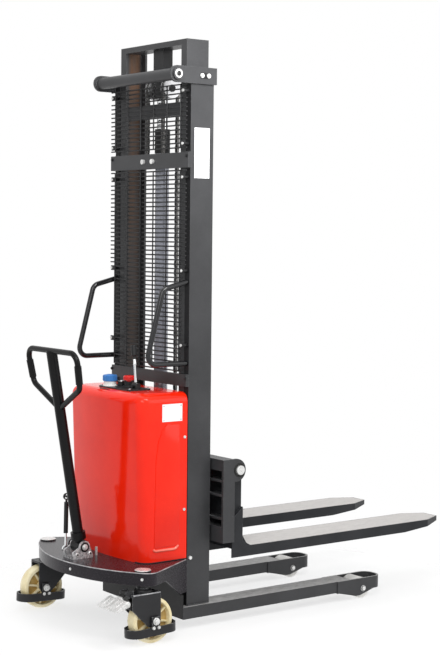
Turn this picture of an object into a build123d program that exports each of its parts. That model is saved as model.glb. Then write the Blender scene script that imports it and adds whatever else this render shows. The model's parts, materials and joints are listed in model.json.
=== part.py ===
from build123d import *
from math import cos, hypot, radians, sin
import os

# Pedestrian stacker. While modelling, x = 0 is the rear face of the mast, +x runs towards the fork tips,
# y = 0 is the centre plane with +y to the left, and z = 0 is the floor. All sizes are in millimetres.

# Mast
MAST_DEPTH = 98.0
MAST_HALF_WIDTH = 242.0
MAST_WALL = 8.0
OUTER_FLANGE = 28.5
INNER_DEPTH = 94.0
INNER_FLANGE = 33.5
INNER_FOOT = 235.0
INNER_TOP = 2085.0
INNER_ABOVE_MAST = 100.0
BEAM_GAP = 2.0
CROSSHEAD_HEIGHT = 20.0
CROSSHEAD_REACH = 70.0
REAR_BAR_DROP = 244.0
REAR_BAR_HEIGHT = 42.0
REAR_BAR_THICK = 6.0

# Rollers of the inner mast and the carriage
TRACK_GAP = 0.5
ROLLER_SIDE_GAP = 1.5
ROLLER_PIN_R = 12.0
PIN_FIT = 0.05
MAST_ROLLER_Z = (292.0, 482.0)
CARRIAGE_ROLLER_Z = (375.0, 565.0)

# Cross members of the mast
END_PLATE_THICK = 10.0
END_PLATE_HEIGHT = 58.0
END_PLATE_DROP = 1.0
END_PLATE_FRONT = 6.0
TUBE_R = 21.2
TUBE_WALL = 3.2
TUBE_BEHIND = 65.0
TUBE_PAST_PLATE = 8.0
MID_BEAM_DROP = 397.0
MID_BEAM_HEIGHT = 54.0
MID_BEAM_THICK = 16.0
LOWER_BEAM_Z = (864.0, 907.0)
LOWER_BEAM_THICK = 12.0
BEAM_OVERHANG = 8.0
FOOT_BEAM_HEIGHT = 50.0
FOOT_BEAM_GAP = 2.0

# Lift cylinder, sheaves and chains
CYLINDER_X = 46.0
BARREL_R = 25.0
BARREL_WALL = 4.0
BARREL_DROP = 392.0
BARREL_FLOOR = 15.0
HEAD_R = 28.0
HEAD_HEIGHT = 87.0
ROD_R = 20.0
ROD_DROP = 195.0
PISTON_Z = 295.0
PISTON_HEIGHT = 30.0
SHEAVE_DROP = 160.0
SHEAVE_PITCH_R = 31.0
SHEAVE_RIM_R = 36.0
CHAIN_Y = 49.0
CHAIN_WIDTH = 16.0
CHAIN_THICK = 10.0
SHEAVE_WIDTH = 22.0
SHEAVE_PIN_R = 10.0
BLOCK_HALF_WIDTH = 32.0
BLOCK_DEPTH = 40.0
LUG_WIDTH = 16.0
LUG_HEIGHT = 40.0
CHAIN_GAP = 0.3
SHEAVE_HEAD = 3.0
CARRIAGE_LUG_Z = 480.0
CLAMP_WIRE_R = 5.0
CLAMP_NUT_R = 9.0
CLAMP_NUT_HEIGHT = 8.0

# Legs and load rollers
LEG_INSET = 27.0
LEG_WIDTH = 88.0
LEG_TOP = 80.0
LEG_HEIGHT = 43.0
LEG_WALL = 5.0
LEG_REAR = 26.0
LEG_FRONT = 694.0
YOKE_LENGTH = 229.0
YOKE_WIDTH = 96.0
YOKE_WALL = 8.0
YOKE_HEIGHT = 46.0
YOKE_CORNER = 40.0
YOKE_BLOCK = 70.0
YOKE_CHEEK = (8.0, 183.0)
YOKE_CHEEK_DIP = 92.0
YOKE_CHEEK_FOOT = 14.0
YOKE_CHEEK_FLAT = 22.0
LOAD_ROLLER_R = 40.0
LOAD_ROLLER_GAP = 3.0
LOAD_AXLE_R = 10.0
LOAD_AXLE_X = 823.0

# Base tray and rear beam
TRAY_TOP = 250.0
TRAY_SHEET = 6.0
TRAY_SKIRT = 45.0
TRAY_REAR = 378.0
TRAY_REAR_R = 560.0
TRAY_CORNER_Y = 375.0
TRAY_CORNER_R = 40.0
GUSSET_START = 146.0
GUSSET_END = 44.0
GUSSET_DROP = 72.0
REAR_BEAM_THICK = 10.0
REAR_BEAM_FOOT = 42.0
REAR_BEAM_STEP = 126.0
REAR_BEAM_OVERHANG = 5.0

# Guards and grab handles
GUARD_X = -20.0
WIRE = 4.0
GUARD_PITCH_Z = 15.7
GUARD_PITCH_Y = 84.0
GUARD_UPRIGHTS = 6
UPPER_GUARD_DROP = 381.0
LOWER_GUARD_Z = 918.0
UPPER_TAB_DROP = (367.0, 183.0)
LOWER_TAB_Z = (1010.0, 1273.0, 1601.0)
TAB_HEIGHT = 18.0
TAB_BOSS_R = 7.0
HANDLE_R = 9.5
HANDLE_TOP_Z = 1234.0
HANDLE_FOOT_Z = 946.0
HANDLE_SHOULDER = (103.0, 1208.0)
HANDLE_REACH = 172.0
HANDLE_BEND = 32.0
HANDLE_CLEARANCE = 1.5

# Power unit cover and console
COVER_HALF_WIDTH = 240.0
COVER_TOP = 845.0
COVER_FOOT_X = 185.0
COVER_TOP_X = 205.0
COVER_BACK_GAP = 2.0
COVER_WALL = 4.0
COVER_CORNER_R = 42.0
COVER_BROW_R = 34.0
CONSOLE_X = (-170.0, -72.0)
CONSOLE_Y = (-118.0, 88.0)
CONSOLE_THICK = 5.0
CONSOLE_LIP = 9.0
CONSOLE_CORNER_R = 12.0
FILLER_AT = (-142.0, 50.0)
FILLER_R = 25.0
FILLER_NECK_R = 17.5
FILLER_CAP_EDGE = 2.75
FILLER_NECK_HEIGHT = 18.0
FILLER_CAP_HEIGHT = 22.0
GAUGE_AT = (-106.0, 29.0)
GAUGE_R = 13.0
GAUGE_HEIGHT = 16.0
STOP_AT = (-102.0, -15.0)
STOP_R = 21.0
STOP_STEM_R = 9.0
STOP_BASE_R = 16.0
STOP_BASE_HEIGHT = 18.0
STOP_TRAVEL = 6.0
STOP_HEAD_HEIGHT = 16.0
STOP_HEAD_EDGE = 5.3
LEVER_AT = (-118.0, -85.0)
LEVER_TOP = (-112.0, -62.0)
LEVER_R = 5.0
LEVER_PIVOT_Z = 862.0
LEVER_KNOB_Z = 984.0
LEVER_KNOB_R = 11.0
LEVER_KNOB_LENGTH = 40.0
LEVER_KNOB_EDGE = 3.7
LEVER_EAR_THICK = 6.0
LEVER_EAR_GAP = 0.5
LEVER_BOSS_R = 9.0
LEVER_PIN_R = 4.0

# Inside the cover
BATTERY_SIZE = (140.0, 230.0, 215.0)
BATTERY_AT = (-105.0, 80.0)
TANK_SIZE = (132.0, 140.0, 220.0)
TANK_AT = (-96.0, -130.0)
VALVE_SIZE = (70.0, 70.0, 60.0)
MOTOR_R = 55.0
MOTOR_HEIGHT = 170.0
HOSE_R = 7.0
HOSE_BEND = 12.5
HOSE_PORT_WALL = 2.0
HOSE_DROP_X = -16.0
HOSE_PORT_Z = 175.0
HOSE_PORT_REACH = 11.0
HOSE_HOLE_GAP = 3.0
HOSE_SIDE_Z = 330.0

# Casters
CASTER_INSET = 37.6
CASTER_Y = 320.0
TRAIL = 30.0
WHEEL_R = 80.0
WHEEL_WIDTH = 46.0
WHEEL_TREAD = 13.0
WHEEL_WEB = 16.0
WHEEL_HUB_R = 22.0
WHEEL_AXLE_R = 8.0
CHEEK_GAP = 2.5
CHEEK_THICK = 5.0
CROWN_Z = 170.0
CROWN_THICK = 8.0
CROWN_X = (-60.0, 55.0)
CHEEK_SHOULDER_Z = 125.0
CHEEK_FOOT_HALF = 24.0
CHEEK_FOOT_Z = 60.0
RACE_R = 22.0
RACE_GAP = 0.3
RACE_Z = 196.0
KINGPIN_R = 10.0
KINGPIN_TOP = 230.0
MOUNT_PLATE_R = 24.0
MOUNT_PLATE_THICK = 8.0
CAP_R = 28.0
CAP_HEIGHT = 4.0
TOE_GUARD_LENGTH = 196.0
TOE_GUARD_WIDTH = 80.0
TOE_GUARD_WALL = 5.0
TOE_GUARD_Z = (30.5, 60.5)
TOE_GUARD_DIP = 2.5
TOE_GUARD_TAB = 32.0

# Brake pedal on the right caster
PEDAL_PIVOT = (-73.0, 184.0)
PEDAL_PIN_R = 5.0
PEDAL_BOSS_R = 9.0
PEDAL_EAR_THICK = 6.0
PEDAL_EAR_GAP = 0.5
PEDAL_PAD_R = 6.0
PEDAL_PAD_GAP = 7.2
PEDAL_PAD_ANGLE = 150.0
PEDAL_INNER = (-98.0, 167.0)
PEDAL_OUTER = (-143.0, 140.0)
PEDAL_HALF_WIDTHS = (54.0, 60.0)
PEDAL_SHEET = 5.0
PEDAL_ARM_HALF = 14.0

# Tiller and gas spring
TILLER_PIVOT = (-297.0, 290.0)
TILLER_LEAN = 9.63
TILLER_LENGTH = 711.0
STEM_R = 19.0
TILLER_PIN_R = 8.0
TILLER_BOSS_R = 24.0
TILLER_BOSS_HALF = 26.0
TILLER_COLLAR_FROM = 26.0
TILLER_COLLAR_R = 26.5
TILLER_COLLAR_HEIGHT = 26.0
LOOP_R = 10.0
LOOP_HALF_TOP = 169.0
LOOP_HALF_FOOT = 157.0
LOOP_HEIGHT = 126.0
LOOP_NECK_DROP = 209.0
LOOP_TOP_BEND = 36.0
LOOP_FOOT_BEND = 30.0
GRIP_R = 12.5
GRIP_FROM = 19.0
GRIP_LENGTH = 64.0
BRACKET_X = (-344.0, -262.0)
BRACKET_CHEEK = 7.0
BRACKET_GAP = 1.0
BRACKET_BASE = 8.0
BRACKET_NOSE = 22.0
SPRING_TOP = 175.5
SPRING_STUD_X = -330.0
SPRING_STUD_Z = 276.0
SPRING_Y = 44.0
SPRING_STUD_R = 4.0
SPRING_EYE_R = 12.0
SPRING_TOP_EYE_BORE = 8.5
SPRING_EYE_WIDTH = 8.0
SPRING_STUD_PAST = 2.0
SPRING_PISTON_LENGTH = 8.0
SPRING_ROD_INSIDE = 61.0
SPRING_BARREL_FROM = 20.0
SPRING_BARREL_R = 8.0
SPRING_BARREL_WALL = 2.0
SPRING_BARREL_LENGTH = 111.0
SPRING_ROD_R = 4.0
STOP_PIN_AT = (-233.0, -9.0)
STOP_PIN_R = 5.0
STOP_PIN_HEIGHT = 30.0

# Carriage and forks
CARRIAGE_BACK = 110.0
CARRIAGE_FRONT = 160.5
CARRIAGE_FOOT = 303.0
CARRIAGE_TOP = 601.0
CARRIAGE_HALF = 307.0
CARRIAGE_PLATE = 10.0
HEEL_BAR_HEIGHT = 57.0
TOP_BAR_HEIGHT = 40.0
ROLLER_PLATE = 14.0
ROLLER_PLATE_GAP = 4.0
ROLLER_PLATE_MARGIN = 46.0
SHAFT_R = 17.0
SHAFT_X = 182.0
SHAFT_Z = 561.0
EYE_R = 41.0
EYE_BEHIND = 14.0
FORK_Y = 216.0
FORK_WIDTH = 159.0
FORK_TOP = 281.0
FORK_DEPTH = 38.0
FORK_SHEET = 6.0
FORK_TIP = 1222.0
FORK_TAPER_FROM = 1010.0
FORK_NOSE = 19.0
FORK_POINT_WIDTH = 74.0
FORK_POINT_LENGTH = 90.0
FORK_HEEL = 161.0
SHANK_THICK = 48.0
SHANK_INSET = 14.0
COLLAR_R = 21.0
COLLAR_FIT = 0.1
FORK_GUSSET_TOP = 384.0
FORK_GUSSET_REACH = 46.0
FORK_GUSSET_PEAK = 424.0
HEEL_FILLET_REACH = 30.0
HEEL_FILLET_HEIGHT = 50.0

# Small trim
MAST_PLATE_X = (16.0, 81.0)
MAST_PLATE_Z = (1598.0, 1774.0)
COVER_PLATE_X = (-110.0, -25.0)
COVER_PLATE_Z = (745.0, 807.0)
PLATE_THICK = 1.0
BOLT_R = 7.0
BOLT_HEIGHT = 6.0
SCREW_R = 5.0
SCREW_HEIGHT = 3.0
MAST_BOLT_AT = (12.0, 253.0)
COVER_SCREW_X = -14.0
COVER_SCREW_Z = (429.0, 687.0)
SKIRT_SCREW_Y = (-66.0, -345.0)
SKIRT_SCREW_DROP = 22.0

# Values worked out from the sizes above
MAST_CENTRE_X = MAST_DEPTH / 2
OUTER_WEB_Y = MAST_HALF_WIDTH - MAST_WALL
OUTER_TIP_Y = MAST_HALF_WIDTH - OUTER_FLANGE
INNER_OUT_Y = OUTER_TIP_Y - BEAM_GAP
INNER_WEB_Y = INNER_OUT_Y - MAST_WALL
INNER_TIP_Y = INNER_OUT_Y - INNER_FLANGE
INNER_BACK_X = MAST_CENTRE_X - INNER_DEPTH / 2
MAST_TOP = INNER_TOP - INNER_ABOVE_MAST
REAR_BAR_Z = INNER_TOP - REAR_BAR_DROP
MID_BEAM_TOP = INNER_TOP - MID_BEAM_DROP
MID_BEAM_Z = (MID_BEAM_TOP - MID_BEAM_HEIGHT, MID_BEAM_TOP)
BARREL_TOP = INNER_TOP - BARREL_DROP
ROD_TOP = INNER_TOP - ROD_DROP
SHEAVE_Z = INNER_TOP - SHEAVE_DROP
UPPER_GUARD_Z = INNER_TOP - UPPER_GUARD_DROP
UPPER_TAB_Z = tuple(INNER_TOP - tab_drop for tab_drop in UPPER_TAB_DROP)
LOOP_FOOT = TILLER_LENGTH - LOOP_HEIGHT
LOOP_NECK = TILLER_LENGTH - LOOP_NECK_DROP
CASTER_X = TRAY_REAR_R - TRAY_REAR - (TRAY_REAR_R**2 - CASTER_Y**2) ** 0.5 + CASTER_INSET
FOOT_BEAM_TOP = LEG_TOP + FOOT_BEAM_HEIGHT
MAST_ROLLER_R = MAST_DEPTH / 2 - MAST_WALL - TRACK_GAP
CARRIAGE_ROLLER_R = INNER_DEPTH / 2 - MAST_WALL - TRACK_GAP
ROLLER_PLATE_Y = INNER_TIP_Y - ROLLER_PLATE_GAP
BEHIND_STRAND_X = CYLINDER_X - SHEAVE_PITCH_R
FRONT_STRAND_X = CYLINDER_X + SHEAVE_PITCH_R
CHEEK_IN = WHEEL_WIDTH / 2 + CHEEK_GAP
CHEEK_OUT = CHEEK_IN + CHEEK_THICK
BRACKET_INSIDE = TILLER_BOSS_HALF + BRACKET_GAP
HANDLE_Y = (OUTER_TIP_Y + MAST_HALF_WIDTH) / 2
TAB_Y = HANDLE_Y
LEG_Y = MAST_HALF_WIDTH - LEG_INSET
BEAM_HALF_LENGTH = MAST_HALF_WIDTH + BEAM_OVERHANG


def block(x, y, z):
    """A box between three pairs of limits."""
    centre = Pos((x[0] + x[1]) / 2, (y[0] + y[1]) / 2, (z[0] + z[1]) / 2)
    return centre * Box(x[1] - x[0], y[1] - y[0], z[1] - z[0])


def rod(start, end, radius):
    """A round bar between two points."""
    axis = Vector(*end) - Vector(*start)
    stand = (Align.CENTER, Align.CENTER, Align.MIN)
    return Plane(origin=start, z_dir=axis) * Cylinder(radius, axis.length, align=stand)


def across(x, z, radius, y):
    """A round bar along Y."""
    return rod((x, y[0], z), (x, y[1], z), radius)


def upright(at, radius, z):
    """A round bar along Z."""
    return rod((at[0], at[1], z[0]), (at[0], at[1], z[1]), radius)


def side_profile(points, y):
    """A plate with its outline in XZ, between two y values."""
    plane = Plane(origin=(0, y[0], 0), x_dir=(1, 0, 0), z_dir=(0, -1, 0))
    return extrude(plane * make_face(Polyline(*points, close=True)), -(y[1] - y[0]))


def mirrored(shape):
    """The same piece on the other side of the centre plane."""
    return mirror(shape, about=Plane.XZ)


def both_sides(shape):
    """A piece and its mirror image."""
    return [shape, mirrored(shape)]


def channel(x, tip_y, out_y, z):
    """A C channel that opens towards the centre plane."""
    inside = (x[0] + MAST_WALL, x[1] - MAST_WALL)
    return block(x, (tip_y, out_y), z) - block(inside, (tip_y, out_y - MAST_WALL), z)


def leg():
    """One straddle leg with the welded yoke of its load roller, centred on y = 0."""
    half = LEG_WIDTH / 2
    foot = LEG_TOP - LEG_HEIGHT
    tube = block((-LEG_REAR, LEG_FRONT), (-half, half), (foot, LEG_TOP))
    bore_y = half - LEG_WALL
    tube -= block((-LEG_REAR, LEG_FRONT), (-bore_y, bore_y), (foot + LEG_WALL, LEG_TOP - LEG_WALL))
    yoke_front = LEG_FRONT + YOKE_LENGTH
    yoke = rounded_front((LEG_FRONT, yoke_front), YOKE_WIDTH / 2, YOKE_CORNER)
    pocket_x = (LEG_FRONT + YOKE_BLOCK, yoke_front - YOKE_WALL)
    pocket = rounded_front(pocket_x, YOKE_WIDTH / 2 - YOKE_WALL, YOKE_CORNER - YOKE_WALL)
    yoke_body = extrude(Pos(0, 0, LEG_TOP - YOKE_HEIGHT) * (yoke - pocket), YOKE_HEIGHT)
    body = tube + yoke_body + yoke_cheek() + mirrored(yoke_cheek())
    bore = across(LOAD_AXLE_X, LOAD_ROLLER_R, LOAD_AXLE_R + PIN_FIT, (-YOKE_WIDTH, YOKE_WIDTH))
    reach = YOKE_WIDTH / 2 + LOAD_ROLLER_GAP
    return [body - bore, across(LOAD_AXLE_X, LOAD_ROLLER_R, LOAD_AXLE_R, (-reach, reach))]


def yoke_cheek():
    """The left side of a yoke where it hangs down round the roller's axle."""
    y = (YOKE_WIDTH / 2 - YOKE_WALL, YOKE_WIDTH / 2)
    top = LEG_TOP - YOKE_HEIGHT / 2
    foot = LEG_TOP - YOKE_HEIGHT
    rear = LEG_FRONT + YOKE_CHEEK[0]
    front = LEG_FRONT + YOKE_CHEEK[1]
    dip = LEG_FRONT + YOKE_CHEEK_DIP
    outline = [(rear, top), (rear, foot), (dip, YOKE_CHEEK_FOOT), (dip + YOKE_CHEEK_FLAT, YOKE_CHEEK_FOOT)]
    outline += [(front, foot), (front, top)]
    return side_profile(outline, y)


def rounded_front(x, half, radius):
    """A flat outline with two rounded front corners."""
    face = Pos((x[0] + x[1]) / 2, 0) * Rectangle(x[1] - x[0], 2 * half)
    return fillet(face.vertices().group_by(Axis.X)[-1], radius)


def load_roller():
    """The roller that turns in a leg's yoke, centred on y = 0."""
    half = YOKE_WIDTH / 2 - YOKE_WALL - LOAD_ROLLER_GAP
    drum = across(LOAD_AXLE_X, LOAD_ROLLER_R, LOAD_ROLLER_R, (-half, half))
    return drum - across(LOAD_AXLE_X, LOAD_ROLLER_R, LOAD_AXLE_R + PIN_FIT, (-half, half))


def tray_corner_x():
    """Where the rear arc of the tray meets its straight side."""
    return TRAY_REAR_R - TRAY_REAR - (TRAY_REAR_R**2 - TRAY_CORNER_Y**2) ** 0.5


def tray_outline():
    """Plan of the tray: an arc at the rear and straight sides that run in to the mast."""
    corner_x = tray_corner_x()
    near = (corner_x, -TRAY_CORNER_Y)
    far = (corner_x, TRAY_CORNER_Y)
    rear = ThreePointArc(near, (-TRAY_REAR, 0), far)
    sides = Polyline(far, (0, MAST_HALF_WIDTH), (0, -MAST_HALF_WIDTH), near)
    face = make_face([rear, sides])
    return fillet(face.vertices().filter_by(lambda v: v.X < corner_x / 2), TRAY_CORNER_R)


def tray_gusset():
    """The side plate that deepens the left skirt towards the mast."""
    along = Vector(tray_corner_x(), TRAY_CORNER_Y - MAST_HALF_WIDTH, 0).normalized()
    outwards = along.cross(Vector(0, 0, 1))
    plane = Plane(origin=(0, MAST_HALF_WIDTH, 0), x_dir=along, z_dir=outwards)
    skirt_z = TRAY_TOP - TRAY_SKIRT
    deep = skirt_z - GUSSET_DROP
    start = -GUSSET_START / along.X
    end = -GUSSET_END / along.X
    top = skirt_z + TRAY_SHEET
    points = [(0, top), (0, deep), (end, deep), (start, skirt_z), (start, top)]
    return extrude(plane * make_face(Polyline(*points, close=True)), -TRAY_SHEET)


def base_tray():
    """Pressed tray with a skirt, which carries the casters, the tiller and the power unit."""
    outline = tray_outline()
    at_foot = Pos(0, 0, TRAY_TOP - TRAY_SKIRT)
    tray = extrude(at_foot * outline, TRAY_SKIRT)
    tray -= extrude(at_foot * offset(outline, -TRAY_SHEET), TRAY_SKIRT - TRAY_SHEET)
    gusset = tray_gusset()
    tray += gusset + mirrored(gusset)
    return tray - upright((HOSE_DROP_X, 0), HOSE_R + HOSE_HOLE_GAP, (TRAY_TOP - TRAY_SKIRT, TRAY_TOP))


def rear_beam():
    """The plate that ties the rear ends of the legs together under the tray."""
    x = (-LEG_REAR - REAR_BEAM_THICK, -LEG_REAR)
    low = LEG_Y + LEG_WIDTH / 2
    high = MAST_HALF_WIDTH + REAR_BEAM_OVERHANG
    plate = block(x, (-low, low), (REAR_BEAM_FOOT, REAR_BEAM_STEP))
    return plate + block(x, (-high, high), (REAR_BEAM_STEP, TRAY_TOP - TRAY_SHEET))


def mast_channel():
    """The left outer channel of the mast."""
    return channel((0, MAST_DEPTH), OUTER_TIP_Y, MAST_HALF_WIDTH, (LEG_TOP, MAST_TOP))


def end_plate():
    """The left end plate, which holds the cross tube behind the mast head."""
    centre_z = MAST_TOP - END_PLATE_DROP - END_PLATE_HEIGHT / 2
    half = END_PLATE_HEIGHT / 2
    y = (MAST_HALF_WIDTH, MAST_HALF_WIDTH + END_PLATE_THICK)
    plate = block((-TUBE_BEHIND, MAST_DEPTH + END_PLATE_FRONT), y, (centre_z - half, centre_z + half))
    plate += across(-TUBE_BEHIND, centre_z, half, y)
    return plate - across(-TUBE_BEHIND, centre_z, TUBE_R + PIN_FIT, y)


def cross_tube():
    """The closed tube across the mast head."""
    centre_z = MAST_TOP - END_PLATE_DROP - END_PLATE_HEIGHT / 2
    half = MAST_HALF_WIDTH + END_PLATE_THICK + TUBE_PAST_PLATE
    inside = half - TUBE_WALL
    tube = across(-TUBE_BEHIND, centre_z, TUBE_R, (-half, half))
    return tube - across(-TUBE_BEHIND, centre_z, TUBE_R - TUBE_WALL, (-inside, inside))


def clamp_y():
    """Half the distance between the legs of the cylinder clamp."""
    return BARREL_R + CLAMP_WIRE_R + PIN_FIT


def mast_beams():
    """The three beams that tie the outer channels together."""
    clamp_z = sum(MID_BEAM_Z) / 2
    mid = block((-MID_BEAM_THICK, 0), (-BEAM_HALF_LENGTH, BEAM_HALF_LENGTH), MID_BEAM_Z)
    lug_y = (CHAIN_Y - LUG_WIDTH / 2, CHAIN_Y + LUG_WIDTH / 2)
    lug_z = (MID_BEAM_Z[0] + BOLT_HEIGHT, MID_BEAM_Z[1] - BOLT_HEIGHT)
    lug = block((-MID_BEAM_THICK, BEHIND_STRAND_X + CHAIN_THICK / 2), lug_y, lug_z)
    mid += lug + mirrored(lug)
    hole = rod((-MID_BEAM_THICK, clamp_y(), clamp_z), (0, clamp_y(), clamp_z), CLAMP_WIRE_R + PIN_FIT)
    mid -= hole + mirrored(hole)
    low = block((-LOWER_BEAM_THICK, 0), (-MAST_HALF_WIDTH, MAST_HALF_WIDTH), LOWER_BEAM_Z)
    foot_x = (MAST_WALL + FOOT_BEAM_GAP, MAST_DEPTH - MAST_WALL - FOOT_BEAM_GAP)
    foot = block(foot_x, (-OUTER_WEB_Y, OUTER_WEB_Y), (LEG_TOP, FOOT_BEAM_TOP))
    return [mid, low, foot]


def guard(foot_z, limit_z, tabs):
    """A welded wire panel behind the mast: close rows on uprights, with tabs and bosses."""
    rows = int((limit_z - foot_z) / GUARD_PITCH_Z) + 1
    foot = foot_z - WIRE / 2
    top = foot_z + (rows - 1) * GUARD_PITCH_Z + WIRE / 2
    half = (GUARD_UPRIGHTS - 1) * GUARD_PITCH_Y / 2
    comb = HANDLE_Y - HANDLE_R - HANDLE_CLEARANCE
    behind = (GUARD_X - WIRE, GUARD_X)
    in_front = (GUARD_X, GUARD_X + WIRE)
    pieces = []
    for number in range(GUARD_UPRIGHTS):
        y = number * GUARD_PITCH_Y - half
        pieces.append(block(behind, (y - WIRE / 2, y + WIRE / 2), (foot, top)))
    for row in range(rows):
        z = foot + row * GUARD_PITCH_Z
        pieces.append(block(in_front, (-comb, comb), (z, z + WIRE)))
    for z in tabs:
        tab = block(behind, (half + WIRE / 2, TAB_Y + TAB_BOSS_R), (z - TAB_HEIGHT / 2, z + TAB_HEIGHT / 2))
        pieces += both_sides(tab)
        pieces += both_sides(rod((GUARD_X, TAB_Y, z), (0, TAB_Y, z), TAB_BOSS_R))
    return pieces


def swept_tube(points, bend, radius):
    """A round tube along straight runs joined by arcs."""
    path = FilletPolyline(*points, radius=bend)
    start = Plane(origin=path @ 0, z_dir=path % 0)
    return sweep(start * Circle(radius), path=path)


def grab_handle():
    """The left bent-tube handle on the rear of the mast."""
    shoulder_x = -HANDLE_SHOULDER[0]
    rise = (HANDLE_TOP_Z - HANDLE_SHOULDER[1]) / HANDLE_SHOULDER[0]
    past = 2 * HANDLE_R
    points = [
        (past, HANDLE_Y, HANDLE_TOP_Z + past * rise),
        (shoulder_x, HANDLE_Y, HANDLE_SHOULDER[1]),
        (-HANDLE_REACH, HANDLE_Y, HANDLE_FOOT_Z),
        (past, HANDLE_Y, HANDLE_FOOT_Z),
    ]
    behind = block((-2 * HANDLE_REACH, 0), (0, MAST_HALF_WIDTH), (LEG_TOP, MAST_TOP))
    return swept_tube(points, HANDLE_BEND, HANDLE_R) & behind


def cover_form(inset, foot, back):
    """The outer or inner form of the cover: a leaning face, round corners and a round brow."""
    half = COVER_HALF_WIDTH - inset
    top = COVER_TOP - inset
    points = [(inset - COVER_FOOT_X, foot), (inset - COVER_TOP_X, top), (back, top), (back, foot)]
    form = side_profile(points, (-half, half))
    middle = -COVER_FOOT_X / 2
    corners = form.edges().filter_by(lambda e: e.center().X < middle and abs((e % 0.5).Z) > 0.5)
    form = fillet(corners, COVER_CORNER_R - inset)
    brow = form.faces().sort_by(Axis.Z)[-1].edges().filter_by(lambda e: e.center().X < back - COVER_WALL)
    return fillet(brow, COVER_BROW_R - inset)


def console_outline(inset):
    """The rounded rectangle of the console plate, or of the opening under it."""
    width = CONSOLE_X[1] - CONSOLE_X[0] - 2 * inset
    length = CONSOLE_Y[1] - CONSOLE_Y[0] - 2 * inset
    centre = Pos(sum(CONSOLE_X) / 2, sum(CONSOLE_Y) / 2)
    return centre * RectangleRounded(width, length, CONSOLE_CORNER_R - inset / 2)


def power_cover():
    """The moulded cover of the power unit, open below and towards the mast."""
    shell = cover_form(0, TRAY_TOP, -COVER_BACK_GAP)
    shell -= cover_form(COVER_WALL, TRAY_TOP - COVER_WALL, COVER_WALL)
    under = Pos(0, 0, COVER_TOP - 2 * COVER_WALL)
    return shell - extrude(under * console_outline(CONSOLE_LIP), 4 * COVER_WALL)


def console_plate():
    """The plate on top of the cover that carries the controls."""
    return extrude(Pos(0, 0, COVER_TOP) * console_outline(0), CONSOLE_THICK)


def console_fittings():
    """The filler neck, the gauge, the stop button's base and the lever's ears with their pin."""
    foot = COVER_TOP + CONSOLE_THICK
    neck = upright(FILLER_AT, FILLER_NECK_R, (foot, foot + FILLER_NECK_HEIGHT))
    gauge = upright(GAUGE_AT, GAUGE_R, (foot, foot + GAUGE_HEIGHT))
    base = upright(STOP_AT, STOP_BASE_R, (foot, foot + STOP_BASE_HEIGHT))
    base -= upright(STOP_AT, STOP_STEM_R + PIN_FIT, (foot + PIN_FIT, foot + STOP_BASE_HEIGHT))
    x, y = LEVER_AT
    inner = LEVER_BOSS_R + LEVER_EAR_GAP
    outer = inner + LEVER_EAR_THICK
    ears = []
    for near, far in ((y - outer, y - inner), (y + inner, y + outer)):
        ear = block((x - LEVER_BOSS_R, x + LEVER_BOSS_R), (near, far), (foot, LEVER_PIVOT_Z))
        ear += across(x, LEVER_PIVOT_Z, LEVER_BOSS_R, (near, far))
        ears.append(ear)
    pin = across(x, LEVER_PIVOT_Z, LEVER_PIN_R, (y - outer, y + outer))
    return [neck, gauge, base, ears[0] + ears[1] + pin]


def filler_cap():
    """The turning cap on the filler neck."""
    foot = COVER_TOP + CONSOLE_THICK + FILLER_NECK_HEIGHT
    cap = upright(FILLER_AT, FILLER_R, (foot, foot + FILLER_CAP_HEIGHT))
    return fillet(cap.faces().sort_by(Axis.Z)[-1].edges(), FILLER_CAP_EDGE)


def stop_button():
    """The mushroom head of the emergency stop and its stem."""
    base_top = COVER_TOP + CONSOLE_THICK + STOP_BASE_HEIGHT
    head_foot = base_top + STOP_TRAVEL + TRACK_GAP
    stem_foot = base_top - STOP_BASE_HEIGHT + STOP_TRAVEL + TRACK_GAP
    head = upright(STOP_AT, STOP_R, (head_foot, head_foot + STOP_HEAD_HEIGHT))
    head = fillet(head.faces().sort_by(Axis.Z)[-1].edges(), STOP_HEAD_EDGE)
    return head + upright(STOP_AT, STOP_STEM_R, (stem_foot, head_foot))


def control_lever():
    """The raise and lower lever with its knob."""
    x, y = LEVER_AT
    pivot = Vector(x, y, LEVER_PIVOT_Z)
    end = Vector(LEVER_TOP[0], LEVER_TOP[1], LEVER_KNOB_Z)
    along = (end - pivot).normalized()
    knob_foot = end - along * (LEVER_KNOB_LENGTH / 2)
    knob = rod(tuple(knob_foot), tuple(end + along * (LEVER_KNOB_LENGTH / 2)), LEVER_KNOB_R)
    knob = fillet(knob.edges().filter_by(GeomType.CIRCLE), LEVER_KNOB_EDGE)
    boss = across(x, LEVER_PIVOT_Z, LEVER_BOSS_R, (y - LEVER_BOSS_R, y + LEVER_BOSS_R))
    lever = boss + rod(tuple(pivot), tuple(knob_foot), LEVER_R) + knob
    return lever - across(x, LEVER_PIVOT_Z, LEVER_PIN_R + PIN_FIT, (y - LEVER_BOSS_R, y + LEVER_BOSS_R))


def standing_box(at, size, foot):
    """A box on a given height, by its plan centre and size."""
    half_x = size[0] / 2
    half_y = size[1] / 2
    return block((at[0] - half_x, at[0] + half_x), (at[1] - half_y, at[1] + half_y), (foot, foot + size[2]))


def hydraulic_hose():
    """The hose from the valve block to the port at the foot of the cylinder."""
    x, y = TANK_AT
    valve_face = x + VALVE_SIZE[0] / 2
    valve_z = TRAY_TOP + TANK_SIZE[2] + VALVE_SIZE[2] / 2
    points = [
        (valve_face, y, valve_z),
        (HOSE_DROP_X, y, valve_z),
        (HOSE_DROP_X, 0, HOSE_SIDE_Z),
        (HOSE_DROP_X, 0, HOSE_PORT_Z),
        (CYLINDER_X - BARREL_R - HOSE_PORT_REACH, 0, HOSE_PORT_Z),
    ]
    return swept_tube(points, HOSE_BEND, HOSE_R)


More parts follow.
